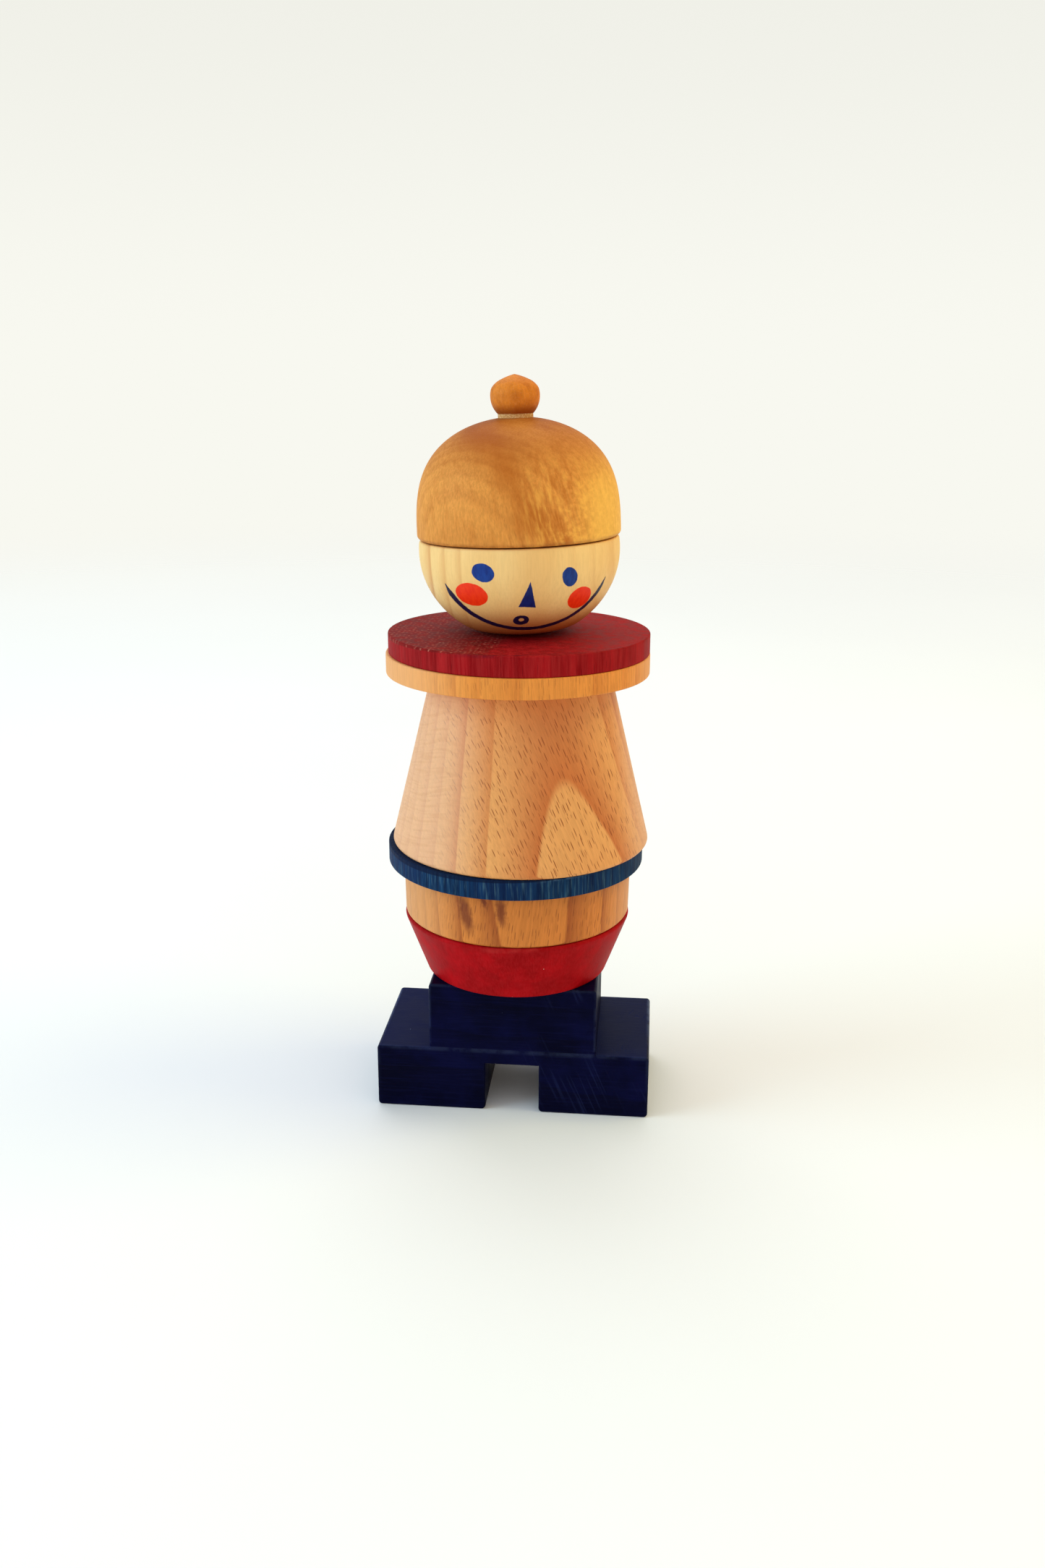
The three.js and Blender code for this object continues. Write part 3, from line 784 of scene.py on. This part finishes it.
def painted_smile(tree, place):
    """A long brush stroke along the lower part of an oval, thinner at the right and at both tips."""
    off = vector_maths(tree, "SUBTRACT", place, across_and_up(SMILE_MIDDLE))
    x, _, z = split(tree, vector_maths(tree, "DIVIDE", off, across_and_up(SMILE_HALF, 1.0)))
    reach = vector_maths(tree, "LENGTH", join(tree, x, 0.0, z))
    from_line = times(tree, maths(tree, "ABSOLUTE", maths(tree, "SUBTRACT", reach, 1.0)), SMILE_HALF[1] * MM)
    share = maths(tree, "DIVIDE", maths(tree, "ARCTAN2", x, times(tree, z, -1.0)), SMILE_ENDS)
    thick = ramp(tree, share, 0.0, 0.85, SMILE_STROKE[0] * MM, SMILE_STROKE[1] * MM)
    from_middle = maths(tree, "ABSOLUTE", share)
    thick = times(tree, thick, ramp(tree, from_middle, 1.0, 0.86, 0.3, 1.0))
    stroke = ramp(tree, maths(tree, "DIVIDE", from_line, thick), 1.2, 0.8)
    return times(tree, stroke, ramp(tree, from_middle, 1.01, 0.99))


def finish_head():
    """Pale maple with thin upright growth lines, painted shade on its lower part towards the collar, and the
    painted face.
    """
    finish, tree, place = start_finish("painted_pale_maple")
    upright = LEANING.inverted()
    standing = laid(tree, place, HEAD_PIVOT, upright)
    wood_place = laid(tree, standing, (0, 0, 0), grain_turn(96, 3))
    colours = (paint(246, 206, 136), paint(196, 114, 50), paint(212, 158, 96), paint(204, 148, 86))
    grain = {
        "Ring_width": 3.98 * MM,
        "Pith_distance": 0.098,
        "Waviness": 0.8 * MM,
        "Late_sharpness": 4.0,
        "Late_end": 0.15,
        "Fleck_size": 0.5,
    }
    x, _, z = split(tree, standing)
    left = ramp(tree, x, -8 * MM, -12 * MM)
    right = ramp(tree, x, 10 * MM, 15 * MM)
    ring_mark = maths(tree, "ADD", times(tree, left, 1.1), times(tree, right, 0.35))
    ring_mark = maths(tree, "ADD", ring_mark, 0.08)
    colour, rough, height, _ = oiled_wood(tree, wood_place, colours, grain, (ring_mark, 0.2, 0.15, 0.06))
    stretched = vector_maths(tree, "MULTIPLY", wood_place, (1, 1, 0.4))
    broad = ramp(tree, noise(tree, stretched, 90.0, 3.0), 0.4, 0.7)
    colour = over(tree, colour, broad, 0.35, (226, 168, 94))
    # painted shade: the head's lower part is painted darker and browner towards the collar below it
    under = ramp(tree, z, 8.5 * MM, 0.8 * MM)
    colour = over(tree, colour, under, 0.9, (176, 94, 30))

    face = laid(tree, standing, (0, 0, 0), Matrix.Rotation(-FACE_TURN, 3, "Z"))
    tremble = put(tree, "ShaderNodeTexNoise", {"Vector": face, "Scale": 900.0, "Detail": 2.0})
    tremble = vector_maths(tree, "SUBTRACT", tremble.outputs["Color"], (0.5, 0.5, 0.5))
    brushed = vector_maths(tree, "ADD", face, vector_maths(tree, "MULTIPLY", tremble, (0.25 * MM,) * 3))
    front = maths(tree, "LESS_THAN", split(tree, face)[1], 0.0)
    hairs = vector_maths(tree, "MULTIPLY", face, (1, 1, 0.25))
    brush = ramp(tree, noise(tree, hairs, 1600.0, 3.0), 0.3, 0.7)

    eyes = times(tree, painted(tree, brushed, EYES), front)
    cheeks = times(tree, painted(tree, brushed, CHEEKS), front)
    mouth = painted(tree, brushed, (MOUTH,))
    hole = painted(tree, brushed, (MOUTH_HOLE,))
    ring = times(tree, mouth, maths(tree, "SUBTRACT", 1.0, hole), front)
    nose = times(tree, painted_nose(tree, brushed), front)
    smile = times(tree, painted_smile(tree, brushed), front)
    blue = mix(tree, brush, paint(0, 40, 120), paint(8, 58, 142))
    orange = mix(tree, brush, paint(236, 40, 0), paint(244, 54, 4))
    navy = mix(tree, brush, paint(0, 20, 88), paint(4, 32, 108))
    ink = mix(tree, brush, paint(10, 8, 48), paint(18, 16, 66))
    colour = mix(tree, cheeks, colour, orange)
    colour = mix(tree, eyes, colour, blue)
    colour = mix(tree, nose, colour, navy)
    colour = mix(tree, maths(tree, "MAXIMUM", ring, smile), colour, ink)
    paint_film = maths(tree, "ADD", maths(tree, "ADD", eyes, cheeks), nose)
    paint_film = maths(tree, "ADD", paint_film, maths(tree, "MAXIMUM", ring, smile), clamp=True)
    rough = mix_value(tree, paint_film, rough, 0.42)
    height = maths(tree, "ADD", times(tree, height, 0.6), times(tree, paint_film, 0.5))
    return complete(finish, colour, rough, height, 0.04 * MM)


def finish_hat():
    """Golden stained maple: ring loops at the front left and curly figure all round, with a painted
    highlight on the curl at the lower right, painted warm light along its right edge and painted shade on
    its top.
    """
    finish, tree, place = start_finish("golden_curly_maple", specular=0.08)
    standing = laid(tree, place, LEANING @ Vector((0, 0, HAT_SEAT)), LEANING.inverted())
    wood_place = laid(tree, standing, (0, 0, 0), grain_turn(-27, 0, -13))
    colours = (paint(228, 152, 70), paint(166, 84, 26), paint(150, 84, 32), paint(150, 84, 32))
    grain = {
        "Ring_width": 2.3 * MM,
        "Pith_distance": 60.4 * MM,
        "Waviness": 2.2 * MM,
        "Late_sharpness": 1.4,
        "Late_end": 0.4,
        "Fleck_size": 0.45,
    }
    colour, rough, height, _ = oiled_wood(tree, wood_place, colours, grain, (0.5, 0.15, 0.2, 0.16))
    x, _, z = split(tree, standing)

    patchy = ramp(tree, noise(tree, standing, 80.0, 3.0), 0.3, 0.7, 0.5, 1.0)
    wander = maths(tree, "MULTIPLY_ADD", noise(tree, standing, 70.0, 3.0), 10 * MM, -5 * MM)
    heart = maths(tree, "ADD", maths(tree, "MULTIPLY_ADD", z, 0.7, -10 * MM), maths(tree, "ADD", x, wander))
    heart = ramp(tree, maths(tree, "ABSOLUTE", heart), 7 * MM, 1 * MM)
    colour = mix(tree, times(tree, heart, patchy, 0.65), colour, paint(172, 86, 14))

    slanted = laid(tree, standing, (0, 0, 0), Matrix.Rotation(math.radians(15), 3, "Y"))
    long_cells = vector_maths(tree, "DIVIDE", slanted, (1.25 * MM, 2.5 * MM, 6.5 * MM))
    lines = noise(tree, long_cells, 1.0, 2.5, 0.55)
    round_cells = vector_maths(tree, "DIVIDE", standing, (1.2 * MM, 1.2 * MM, 1.0 * MM))
    mottle = noise(tree, round_cells, 1.0, 3.0, 0.6)
    side = ramp(tree, x, -2 * MM, 11 * MM)
    low = ramp(tree, z, 23 * MM, 8 * MM)
    # the lower right, where the curly figure is painted as catching the light
    curl_lit_side = times(tree, side, low)
    curl = mix_value(tree, ramp(tree, x, 6 * MM, 18 * MM, 0.1, 0.6), lines, mottle)
    # painted highlight: the curl's pale marks are painted only at the lower right; its dark marks run all
    # round, stronger there
    bright = times(tree, ramp(tree, curl, 0.47, 0.64), curl_lit_side)
    dark = times(tree, ramp(tree, curl, 0.5, 0.34), maths(tree, "MULTIPLY_ADD", curl_lit_side, 0.6, 0.4))
    colour = over(tree, colour, bright, 0.65, (250, 186, 84))
    colour = over(tree, colour, dark, 0.55, (176, 94, 24))
    # painted warm light: the lower right edge is painted pale gold where warm light from the right grazes it
    warm_edge_light = times(tree, ramp(tree, x, 12 * MM, 20 * MM), low)
    colour = over(tree, colour, warm_edge_light, 0.6, (250, 200, 94))
    # painted shade: the top of the hat is painted a duller brown, as less light falls on it from above
    shaded_crown = ramp(tree, z, 12 * MM, 24 * MM)
    colour = mix(tree, times(tree, shaded_crown, patchy, 0.85), colour, paint(154, 75, 12))
    rim = use(tree, WORN_RIM, Place=standing, Radius=HAT_RADIUS, Height=0.0, Width=1.1 * MM)
    colour = over(tree, colour, rim["Wear"], 0.5, (140, 82, 34))
    rough = maths(tree, "SUBTRACT", rough, times(tree, bright, 0.08))
    height = maths(tree, "ADD", times(tree, height, 0.5), times(tree, curl, curl_lit_side))
    return complete(finish, colour, rough, height, 0.05 * MM)


def finish_knob():
    """Reddish brown stain on a small turned ball, its neck left pale and speckled, and painted shade under
    the ball above the neck.
    """
    finish, tree, place = start_finish("brown_stained_maple", specular=0.1)
    seat = LEANING @ Vector((0, 0, HAT_SEAT + on_dome(KNOB_SEAT_ANGLE)[1]))
    standing = laid(tree, place, seat, LEANING.inverted())
    wood_place = laid(tree, standing, (0, 0, 0), grain_turn(-12, 8))
    colours = (paint(222, 130, 38), paint(166, 80, 16), paint(140, 66, 16), paint(120, 52, 12))
    grain = {"Ring_width": 3.4 * MM, "Pith_distance": 0.02, "Waviness": 1.4 * MM, "Fleck_size": 0.4}
    colour, rough, height, _ = oiled_wood(tree, wood_place, colours, grain, (0.2, 0.2, 0.3, 0.12))
    z = split(tree, standing)[2]
    speckle = ramp(tree, noise(tree, standing, 2600.0, 4.0, 0.7), 0.45, 0.68)
    colour = over(tree, colour, speckle, 0.25, (232, 160, 98))
    # painted shade: the ball is painted darker brown on its underside, towards the neck
    waist = ramp(tree, z, KNOB_NECK_TOP + 2.6 * MM, KNOB_NECK_TOP + 0.1 * MM)
    colour = over(tree, colour, waist, 0.7, (118, 50, 14))
    cloud = ramp(tree, noise(tree, standing, 330.0, 4.0, 0.6), 0.4, 0.66)
    colour = over(tree, colour, cloud, 0.3, (154, 66, 10))
    neck = ramp(tree, z, KNOB_NECK_TOP + 0.15 * MM, KNOB_NECK_TOP - 0.1 * MM)
    bare = mix(tree, speckle, paint(196, 146, 88), paint(238, 204, 150))
    colour = mix(tree, neck, colour, bare)
    height = maths(tree, "ADD", times(tree, height, 0.5), times(tree, speckle, 0.4))
    return complete(finish, colour, rough, height, 0.04 * MM)


# ---------------------------------------------------------------- tools for making the pieces

def pick(choose, kind="VERT"):
    """Selects only the vertices, edges or faces that choose accepts, in edit mode."""
    bpy.ops.mesh.select_mode(type=kind)
    bpy.ops.mesh.select_all(action="DESELECT")
    mesh = bmesh.from_edit_mesh(bpy.context.object.data)
    for part in {"VERT": mesh.verts, "EDGE": mesh.edges, "FACE": mesh.faces}[kind]:
        if choose(part):
            part.select_set(True)
    mesh.select_flush_mode()
    bmesh.update_edit_mesh(bpy.context.object.data)


def draw_outline(name, middle, corners):
    """Draws half of a turned piece's section, then eases its corners.

    A corner is its radius and height, and how far back it is eased where it isn't sharp.
    """
    bpy.ops.object.select_all(action="DESELECT")
    start = Vector((middle + corners[0][0], 0, corners[0][1]))
    bpy.ops.mesh.primitive_plane_add(size=PENCIL, location=start)
    piece = bpy.context.object
    piece.name = name
    piece.data.name = name
    bpy.ops.object.mode_set(mode="EDIT")
    bpy.ops.mesh.select_mode(type="VERT")
    bpy.ops.mesh.select_all(action="SELECT")
    bpy.ops.mesh.merge(type="CENTER")
    for here, there in zip(corners, corners[1:]):
        step = (there[0] - here[0], 0, there[1] - here[1])
        bpy.ops.mesh.extrude_region_move(TRANSFORM_OT_translate={"value": step})
    for radius, height, easing in [corner for corner in corners if len(corner) == 3]:
        place = Vector((middle + radius, 0, height)) - start
        pick(lambda vertex: (vertex.co - place).length < WELD)
        bpy.ops.mesh.bevel(offset=easing, segments=5, affect="VERTICES")
    return piece


def turn_outline(middle, steps=TURNING_STEPS):
    """Spins the drawn outline once round the upright axis at middle and closes its seam."""
    bpy.ops.mesh.select_all(action="SELECT")
    bpy.ops.mesh.spin(steps=steps, angle=math.tau, center=(middle, 0, 0), axis=(0, 0, 1))
    bpy.ops.mesh.select_all(action="SELECT")
    bpy.ops.mesh.remove_doubles(threshold=WELD)
    bpy.ops.mesh.normals_make_consistent(inside=False)
    bpy.ops.object.mode_set(mode="OBJECT")


def smooth_piece(piece):
    """Brings the piece to the origin, and shades its curves smooth and its flats flat."""
    bpy.ops.object.transform_apply(location=True, rotation=True, scale=True)
    bpy.ops.object.shade_smooth_by_angle(angle=SMOOTH_ANGLE)
    flats = piece.modifiers.new("flat_faces_stay_flat", "WEIGHTED_NORMAL")
    flats.keep_sharp = True
    bpy.ops.object.modifier_apply(modifier=flats.name)


def turned_piece(name, middle, corners, steps=TURNING_STEPS, stand=None):
    """A finished turned piece. stand leans it, where it was drawn upright at the origin."""
    piece = draw_outline(name, middle, corners)
    turn_outline(middle, steps)
    if stand is not None:
        bpy.ops.object.transform_apply(location=True)
        piece.matrix_world = stand
    smooth_piece(piece)
    return piece


def bored_outline(lo, hi, outer):
    """A ring's section: round the bore, then its outer corners from the bottom to the top."""
    halfway = (lo + hi) / 2
    return [
        (BORE_RADIUS, halfway),
        (BORE_RADIUS, lo, BORE_EDGE),
        *outer,
        (BORE_RADIUS, hi, BORE_EDGE),
        (BORE_RADIUS, halfway),
    ]


def bored_ring(node, radii, edges):
    """A ring of the stack, in the place of its CAD node, with its radii and eased edges."""
    lo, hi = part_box(node)
    outer = [(radii[0], lo.z, edges[0]), (radii[1], hi.z, edges[1])]
    return turned_piece(node + "_wood", middle_of(node), bored_outline(lo.z, hi.z, outer))


def hand_over(piece, node, body, finish):
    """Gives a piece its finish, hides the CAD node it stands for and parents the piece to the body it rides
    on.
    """
    piece.data.materials.clear()
    piece.data.materials.append(finish)
    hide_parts(node)
    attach(piece, body)


# ---------------------------------------------------------------- the pieces

def make_block():
    """The block with two feet: a slab, its feet pulled down, its hips pulled up, its socket cut."""
    lo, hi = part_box("feet_block")
    hip, slot = BLOCK_HIP_WIDTH / 2, BLOCK_SLOT_WIDTH / 2
    slab_middle = (BLOCK_SLOT_HEIGHT + BLOCK_FOOT_HEIGHT) / 2
    slab_size = (hi.x - lo.x, hi.y - lo.y, BLOCK_FOOT_HEIGHT - BLOCK_SLOT_HEIGHT)
    bpy.ops.object.select_all(action="DESELECT")
    bpy.ops.mesh.primitive_cube_add(size=1, location=(0, 0, slab_middle), scale=slab_size)
    block = bpy.context.object
    block.name = "feet_block_wood"
    block.data.name = block.name
    bpy.ops.object.transform_apply(location=True, rotation=True, scale=True)
    bpy.ops.object.mode_set(mode="EDIT")
    for x in (-hip, -slot, slot, hip):
        bpy.ops.mesh.select_all(action="SELECT")
        bpy.ops.mesh.bisect(plane_co=(x, 0, 0), plane_no=(1, 0, 0))
    pick(lambda face: face.normal.z < -0.9 and abs(face.calc_center_median().x) > slot, "FACE")
    bpy.ops.mesh.extrude_region_move(TRANSFORM_OT_translate={"value": (0, 0, lo.z - BLOCK_SLOT_HEIGHT)})
    pick(lambda face: face.normal.z > 0.9 and abs(face.calc_center_median().x) < hip, "FACE")
    bpy.ops.mesh.extrude_region_move(TRANSFORM_OT_translate={"value": (0, 0, hi.z - BLOCK_FOOT_HEIGHT)})
    bpy.ops.mesh.select_all(action="SELECT")
    bpy.ops.mesh.dissolve_limited(angle_limit=math.radians(1))
    bpy.ops.mesh.normals_make_consistent(inside=False)

    def rounded_corner(edge):
        a, b = (vertex.co for vertex in edge.verts)
        along_depth = abs(a.x - b.x) < WELD and abs(a.z - b.z) < WELD
        inner_step = abs(abs(a.x) - hip) < WELD and abs(a.z - BLOCK_FOOT_HEIGHT) < WELD
        slot_top = abs(a.z - BLOCK_SLOT_HEIGHT) < WELD
        return along_depth and not inner_step and not slot_top

    def outline_edge(edge):
        a, b = (vertex.co for vertex in edge.verts)
        return abs(a.y - b.y) < WELD and abs(abs(a.y) - hi.y) < WELD

    pick(rounded_corner, "EDGE")
    bpy.ops.mesh.bevel(offset=BLOCK_CORNER, segments=5)
    pick(outline_edge, "EDGE")
    bpy.ops.mesh.bevel(offset=BLOCK_EDGE, segments=3)
    bpy.ops.object.mode_set(mode="OBJECT")

    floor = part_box("post")[0].z - GLUE_GAP
    depth = hi.z + GLUE_GAP - floor
    place = (middle_of("post"), 0, floor + depth / 2)
    bpy.ops.object.select_all(action="DESELECT")
    bpy.ops.mesh.primitive_cylinder_add(
        vertices=SMALL_TURNING_STEPS, radius=POST_RADIUS + GLUE_GAP, depth=depth, location=place
    )
    drill = bpy.context.object
    bpy.context.view_layer.objects.active = block
    socket = block.modifiers.new("post_socket", "BOOLEAN")
    socket.object = drill
    socket.operation = "DIFFERENCE"
    socket.solver = "EXACT"
    drill.select_set(False)
    block.select_set(True)
    bpy.ops.object.modifier_apply(modifier=socket.name)
    bpy.data.objects.remove(drill)
    smooth_piece(block)
    return block


def make_post():
    lo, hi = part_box("post")
    corners = [
        (0, lo.z),
        (POST_RADIUS, lo.z, BORE_EDGE),
        (POST_RADIUS, hi.z - POST_CHAMFER),
        (POST_RADIUS - POST_CHAMFER, hi.z, BORE_EDGE),
        (0, hi.z),
    ]
    return turned_piece("post_wood", middle_of("post"), corners, SMALL_TURNING_STEPS)


def make_head():
    """A ball cut flat at its foot and top. A curve eases the ball into the small foot."""
    blend = -math.acos(HEAD_FOOT_BLEND / HEAD_RADIUS)
    top = math.asin((HEAD_HEIGHT - HEAD_WIDEST - HEAD_TOP_MARGIN) / HEAD_BALL_HALF_HEIGHT)

    def on_ball(angle):
        return (HEAD_RADIUS * math.cos(angle), HEAD_WIDEST + HEAD_BALL_HALF_HEIGHT * math.sin(angle))

    blend_radius, blend_height = on_ball(blend)
    slope = HEAD_BALL_HALF_HEIGHT * math.cos(blend) / (-HEAD_RADIUS * math.sin(blend))
    bend_radius = blend_radius - blend_height / slope
    foot = []
    for step in range(1, HEAD_FOOT_STEPS):
        t = step / HEAD_FOOT_STEPS
        radius = (1 - t) ** 2 * HEAD_FOOT_RADIUS + 2 * t * (1 - t) * bend_radius + t * t * blend_radius
        foot.append((radius, t * t * blend_height))
    rising = (top - blend) / HEAD_BALL_STEPS
    ball = [on_ball(blend + rising * step) for step in range(HEAD_BALL_STEPS + 1)]
    rise = (HEAD_HEIGHT - HEAD_WIDEST) / HEAD_BALL_HALF_HEIGHT
    top_radius = HEAD_RADIUS * math.sqrt(1 - rise * rise) - HEAD_TOP_INSET
    outer = [(HEAD_FOOT_RADIUS, 0), *foot, *ball, (top_radius, HEAD_HEIGHT, HEAD_TOP_EDGE)]
    return turned_piece("head_wood", 0, bored_outline(0, HEAD_HEIGHT, outer), stand=LEANING)


def on_dome(angle):
    """A point of the hat's outline, fuller up its side than an oval: radius and height."""
    return (HAT_RADIUS * math.cos(angle), HAT_HEIGHT * math.sin(angle) ** (2 / HAT_CROWN_POWER))


def make_hat():
    """A solid dome with a blind bore under it and a small socket for the knob on top."""
    seat_height = on_dome(KNOB_SEAT_ANGLE)[1]
    socket_radius = KNOB_TENON_RADIUS + GLUE_GAP
    socket_floor = seat_height - KNOB_TENON_LENGTH - GLUE_GAP
    low_angle = math.asin((1.1 * HAT_RIM_EDGE / HAT_HEIGHT) ** (HAT_CROWN_POWER / 2))
    dome = []
    for step in range(HAT_DOME_STEPS + 1):
        share = (step / HAT_DOME_STEPS) ** HAT_STEPS_TO_RIM
        dome.append(on_dome(low_angle + (KNOB_SEAT_ANGLE - low_angle) * share))
    corners = [
        (0, HAT_BORE_DEPTH),
        (BORE_RADIUS, HAT_BORE_DEPTH),
        (BORE_RADIUS, 0, BORE_EDGE),
        (HAT_RADIUS, 0, HAT_RIM_EDGE),
        *dome,
        (socket_radius, seat_height),
        (socket_radius, socket_floor),
        (0, socket_floor),
    ]
    stand = LEANING @ Matrix.Translation((0, 0, HAT_SEAT))
    return turned_piece("hat_wood", 0, corners, stand=stand)


def make_knob():
    """A small ball with a blunt cone on top, a short neck and a tenon that goes into the hat."""
    waist = -math.acos((KNOB_NECK_RADIUS + KNOB_WAIST_STEP) / KNOB_RADIUS)
    ball_middle = KNOB_NECK_TOP - KNOB_RADIUS * math.sin(waist)
    last_round = KNOB_SHOULDER - KNOB_SHOULDER_BLEND

    def on_ball(angle):
        return (KNOB_RADIUS * math.cos(angle), ball_middle + KNOB_RADIUS * math.sin(angle))

    rising = (last_round - waist) / KNOB_BALL_STEPS
    ball = [on_ball(waist + rising * step) for step in range(KNOB_BALL_STEPS + 1)]
    shoulder = on_ball(KNOB_SHOULDER)
    blunt_height = shoulder[1] + (shoulder[0] - KNOB_BLUNT_RADIUS) * math.tan(KNOB_CONE)
    corners = [
        (0, -KNOB_TENON_LENGTH),
        (KNOB_TENON_RADIUS, -KNOB_TENON_LENGTH, BORE_EDGE),
        (KNOB_TENON_RADIUS, KNOB_SEAT_LIFT),
        (KNOB_NECK_RADIUS, KNOB_SEAT_LIFT),
        (KNOB_NECK_RADIUS, KNOB_NECK_TOP),
        *ball,
        (*shoulder, KNOB_SHOULDER_EDGE),
        (KNOB_BLUNT_RADIUS, blunt_height, KNOB_BLUNT_EDGE),
        (0, blunt_height + KNOB_BLUNT_RADIUS * math.tan(KNOB_CONE) / 2),
    ]
    stand = LEANING @ Matrix.Translation((0, 0, HAT_SEAT + on_dome(KNOB_SEAT_ANGLE)[1]))
    return turned_piece("hat_knob_wood", 0, corners, SMALL_TURNING_STEPS, stand)


def make_floor():
    """A wide pale floor that fades into the backdrop."""
    bpy.ops.object.select_all(action="DESELECT")
    bpy.ops.mesh.primitive_circle_add(vertices=96, radius=FLOOR_RADIUS, fill_type="NGON")
    floor = bpy.context.object
    floor.name = "studio_floor"
    finish, tree, place = start_finish("pale_floor", roughness=0.8, specular=0.2)
    shader = tree.nodes["Principled BSDF"]
    cloud = ramp(tree, noise(tree, place, 3.0, 2.0), 0.3, 0.7)
    plug(tree, shader.inputs["Base Color"], mix(tree, cloud, paint(236, 238, 241), paint(239, 241, 244)))
    away = vector_maths(tree, "LENGTH", place)
    plug(tree, shader.inputs["Alpha"], ramp(tree, away, FLOOR_FADE_END, FLOOR_FADE_START))
    floor.data.materials.append(finish)


def set_studio():
    """A bright backdrop and three lamps, in a room that is warm at its right and its front."""
    world = bpy.data.worlds.new("studio")
    bpy.context.scene.world = world
    world.use_nodes = True
    tree = world.node_tree
    direction = tree.nodes.new("ShaderNodeTexCoord").outputs["Generated"]
    x, y, z = split(tree, direction)
    height = ramp(tree, z, 0.0, 0.24)
    backdrop = mix(tree, height, paint(248, 248, 240), paint(240, 240, 232))
    seen = tree.nodes["Background"]
    plug(tree, seen.inputs["Color"], backdrop)
    behind = ramp(tree, y, -0.6, 0.5, ROOM_LIGHT, BACKDROP_LIGHT)
    tint = mix(tree, ramp(tree, x, -0.7, 0.8), LEFT_TINT, RIGHT_TINT)
    front = ramp(tree, y, -0.1, -0.9, 0.0, 0.6)
    tint = mix(tree, front, tint, FRONT_TINT)
    tint = mix(tree, ramp(tree, z, 0.15, 0.85), tint, UPPER_TINT)
    ambient = put(tree, "ShaderNodeBackground", {"Color": tint, "Strength": behind})
    ray = tree.nodes.new("ShaderNodeLightPath")
    either = put(tree, "ShaderNodeMixShader", {0: ray.outputs["Is Camera Ray"]})
    plug(tree, either.inputs[1], ambient.outputs[0])
    plug(tree, either.inputs[2], seen.outputs[0])
    plug(tree, tree.nodes["World Output"].inputs["Surface"], either.outputs[0])

    for lamp in LAMPS:
        soft_lamp(*lamp)
    bpy.context.scene.view_settings.view_transform = "Standard"


set_camera()
set_studio()
make_floor()

# node, body, radii, edges, slot and finish of each ring of the stack, from the bottom up
RINGS = (
    ("hip_bowl", "bowl", BOWL_RADII, BOWL_EDGES, "red_stained_wood", finish_bowl),
    ("belly_barrel", "barrel", BARREL_RADII, BARREL_EDGES, "oiled_beech", finish_barrel),
    ("belt_disc", "belt", disc_radii("belt_disc"), DISC_EDGES, "blue_stained_wood", finish_belt),
    ("torso_cone", "torso", TORSO_RADII, TORSO_EDGES, "rosy_beech", finish_torso),
    (
        "lower_collar", "collar_low", disc_radii("lower_collar"), DISC_EDGES,
        "oiled_beech", finish_lower_collar,
    ),
    (
        "upper_collar", "collar_high", disc_radii("upper_collar"), DISC_EDGES,
        "red_stained_wood", finish_upper_collar,
    ),
)

hand_over(make_block(), "feet_block", "base", finish_block())
hand_over(make_post(), "post", "base", finish_post())
for node, body, radii, edges, slot, finish in RINGS:
    hand_over(bored_ring(node, radii, edges), node, body, finish())
hand_over(make_head(), "head", "head_ball", finish_head())
hand_over(make_hat(), "hat", "hat_dome", finish_hat())
hand_over(make_knob(), "hat_knob", "hat_dome", finish_knob())
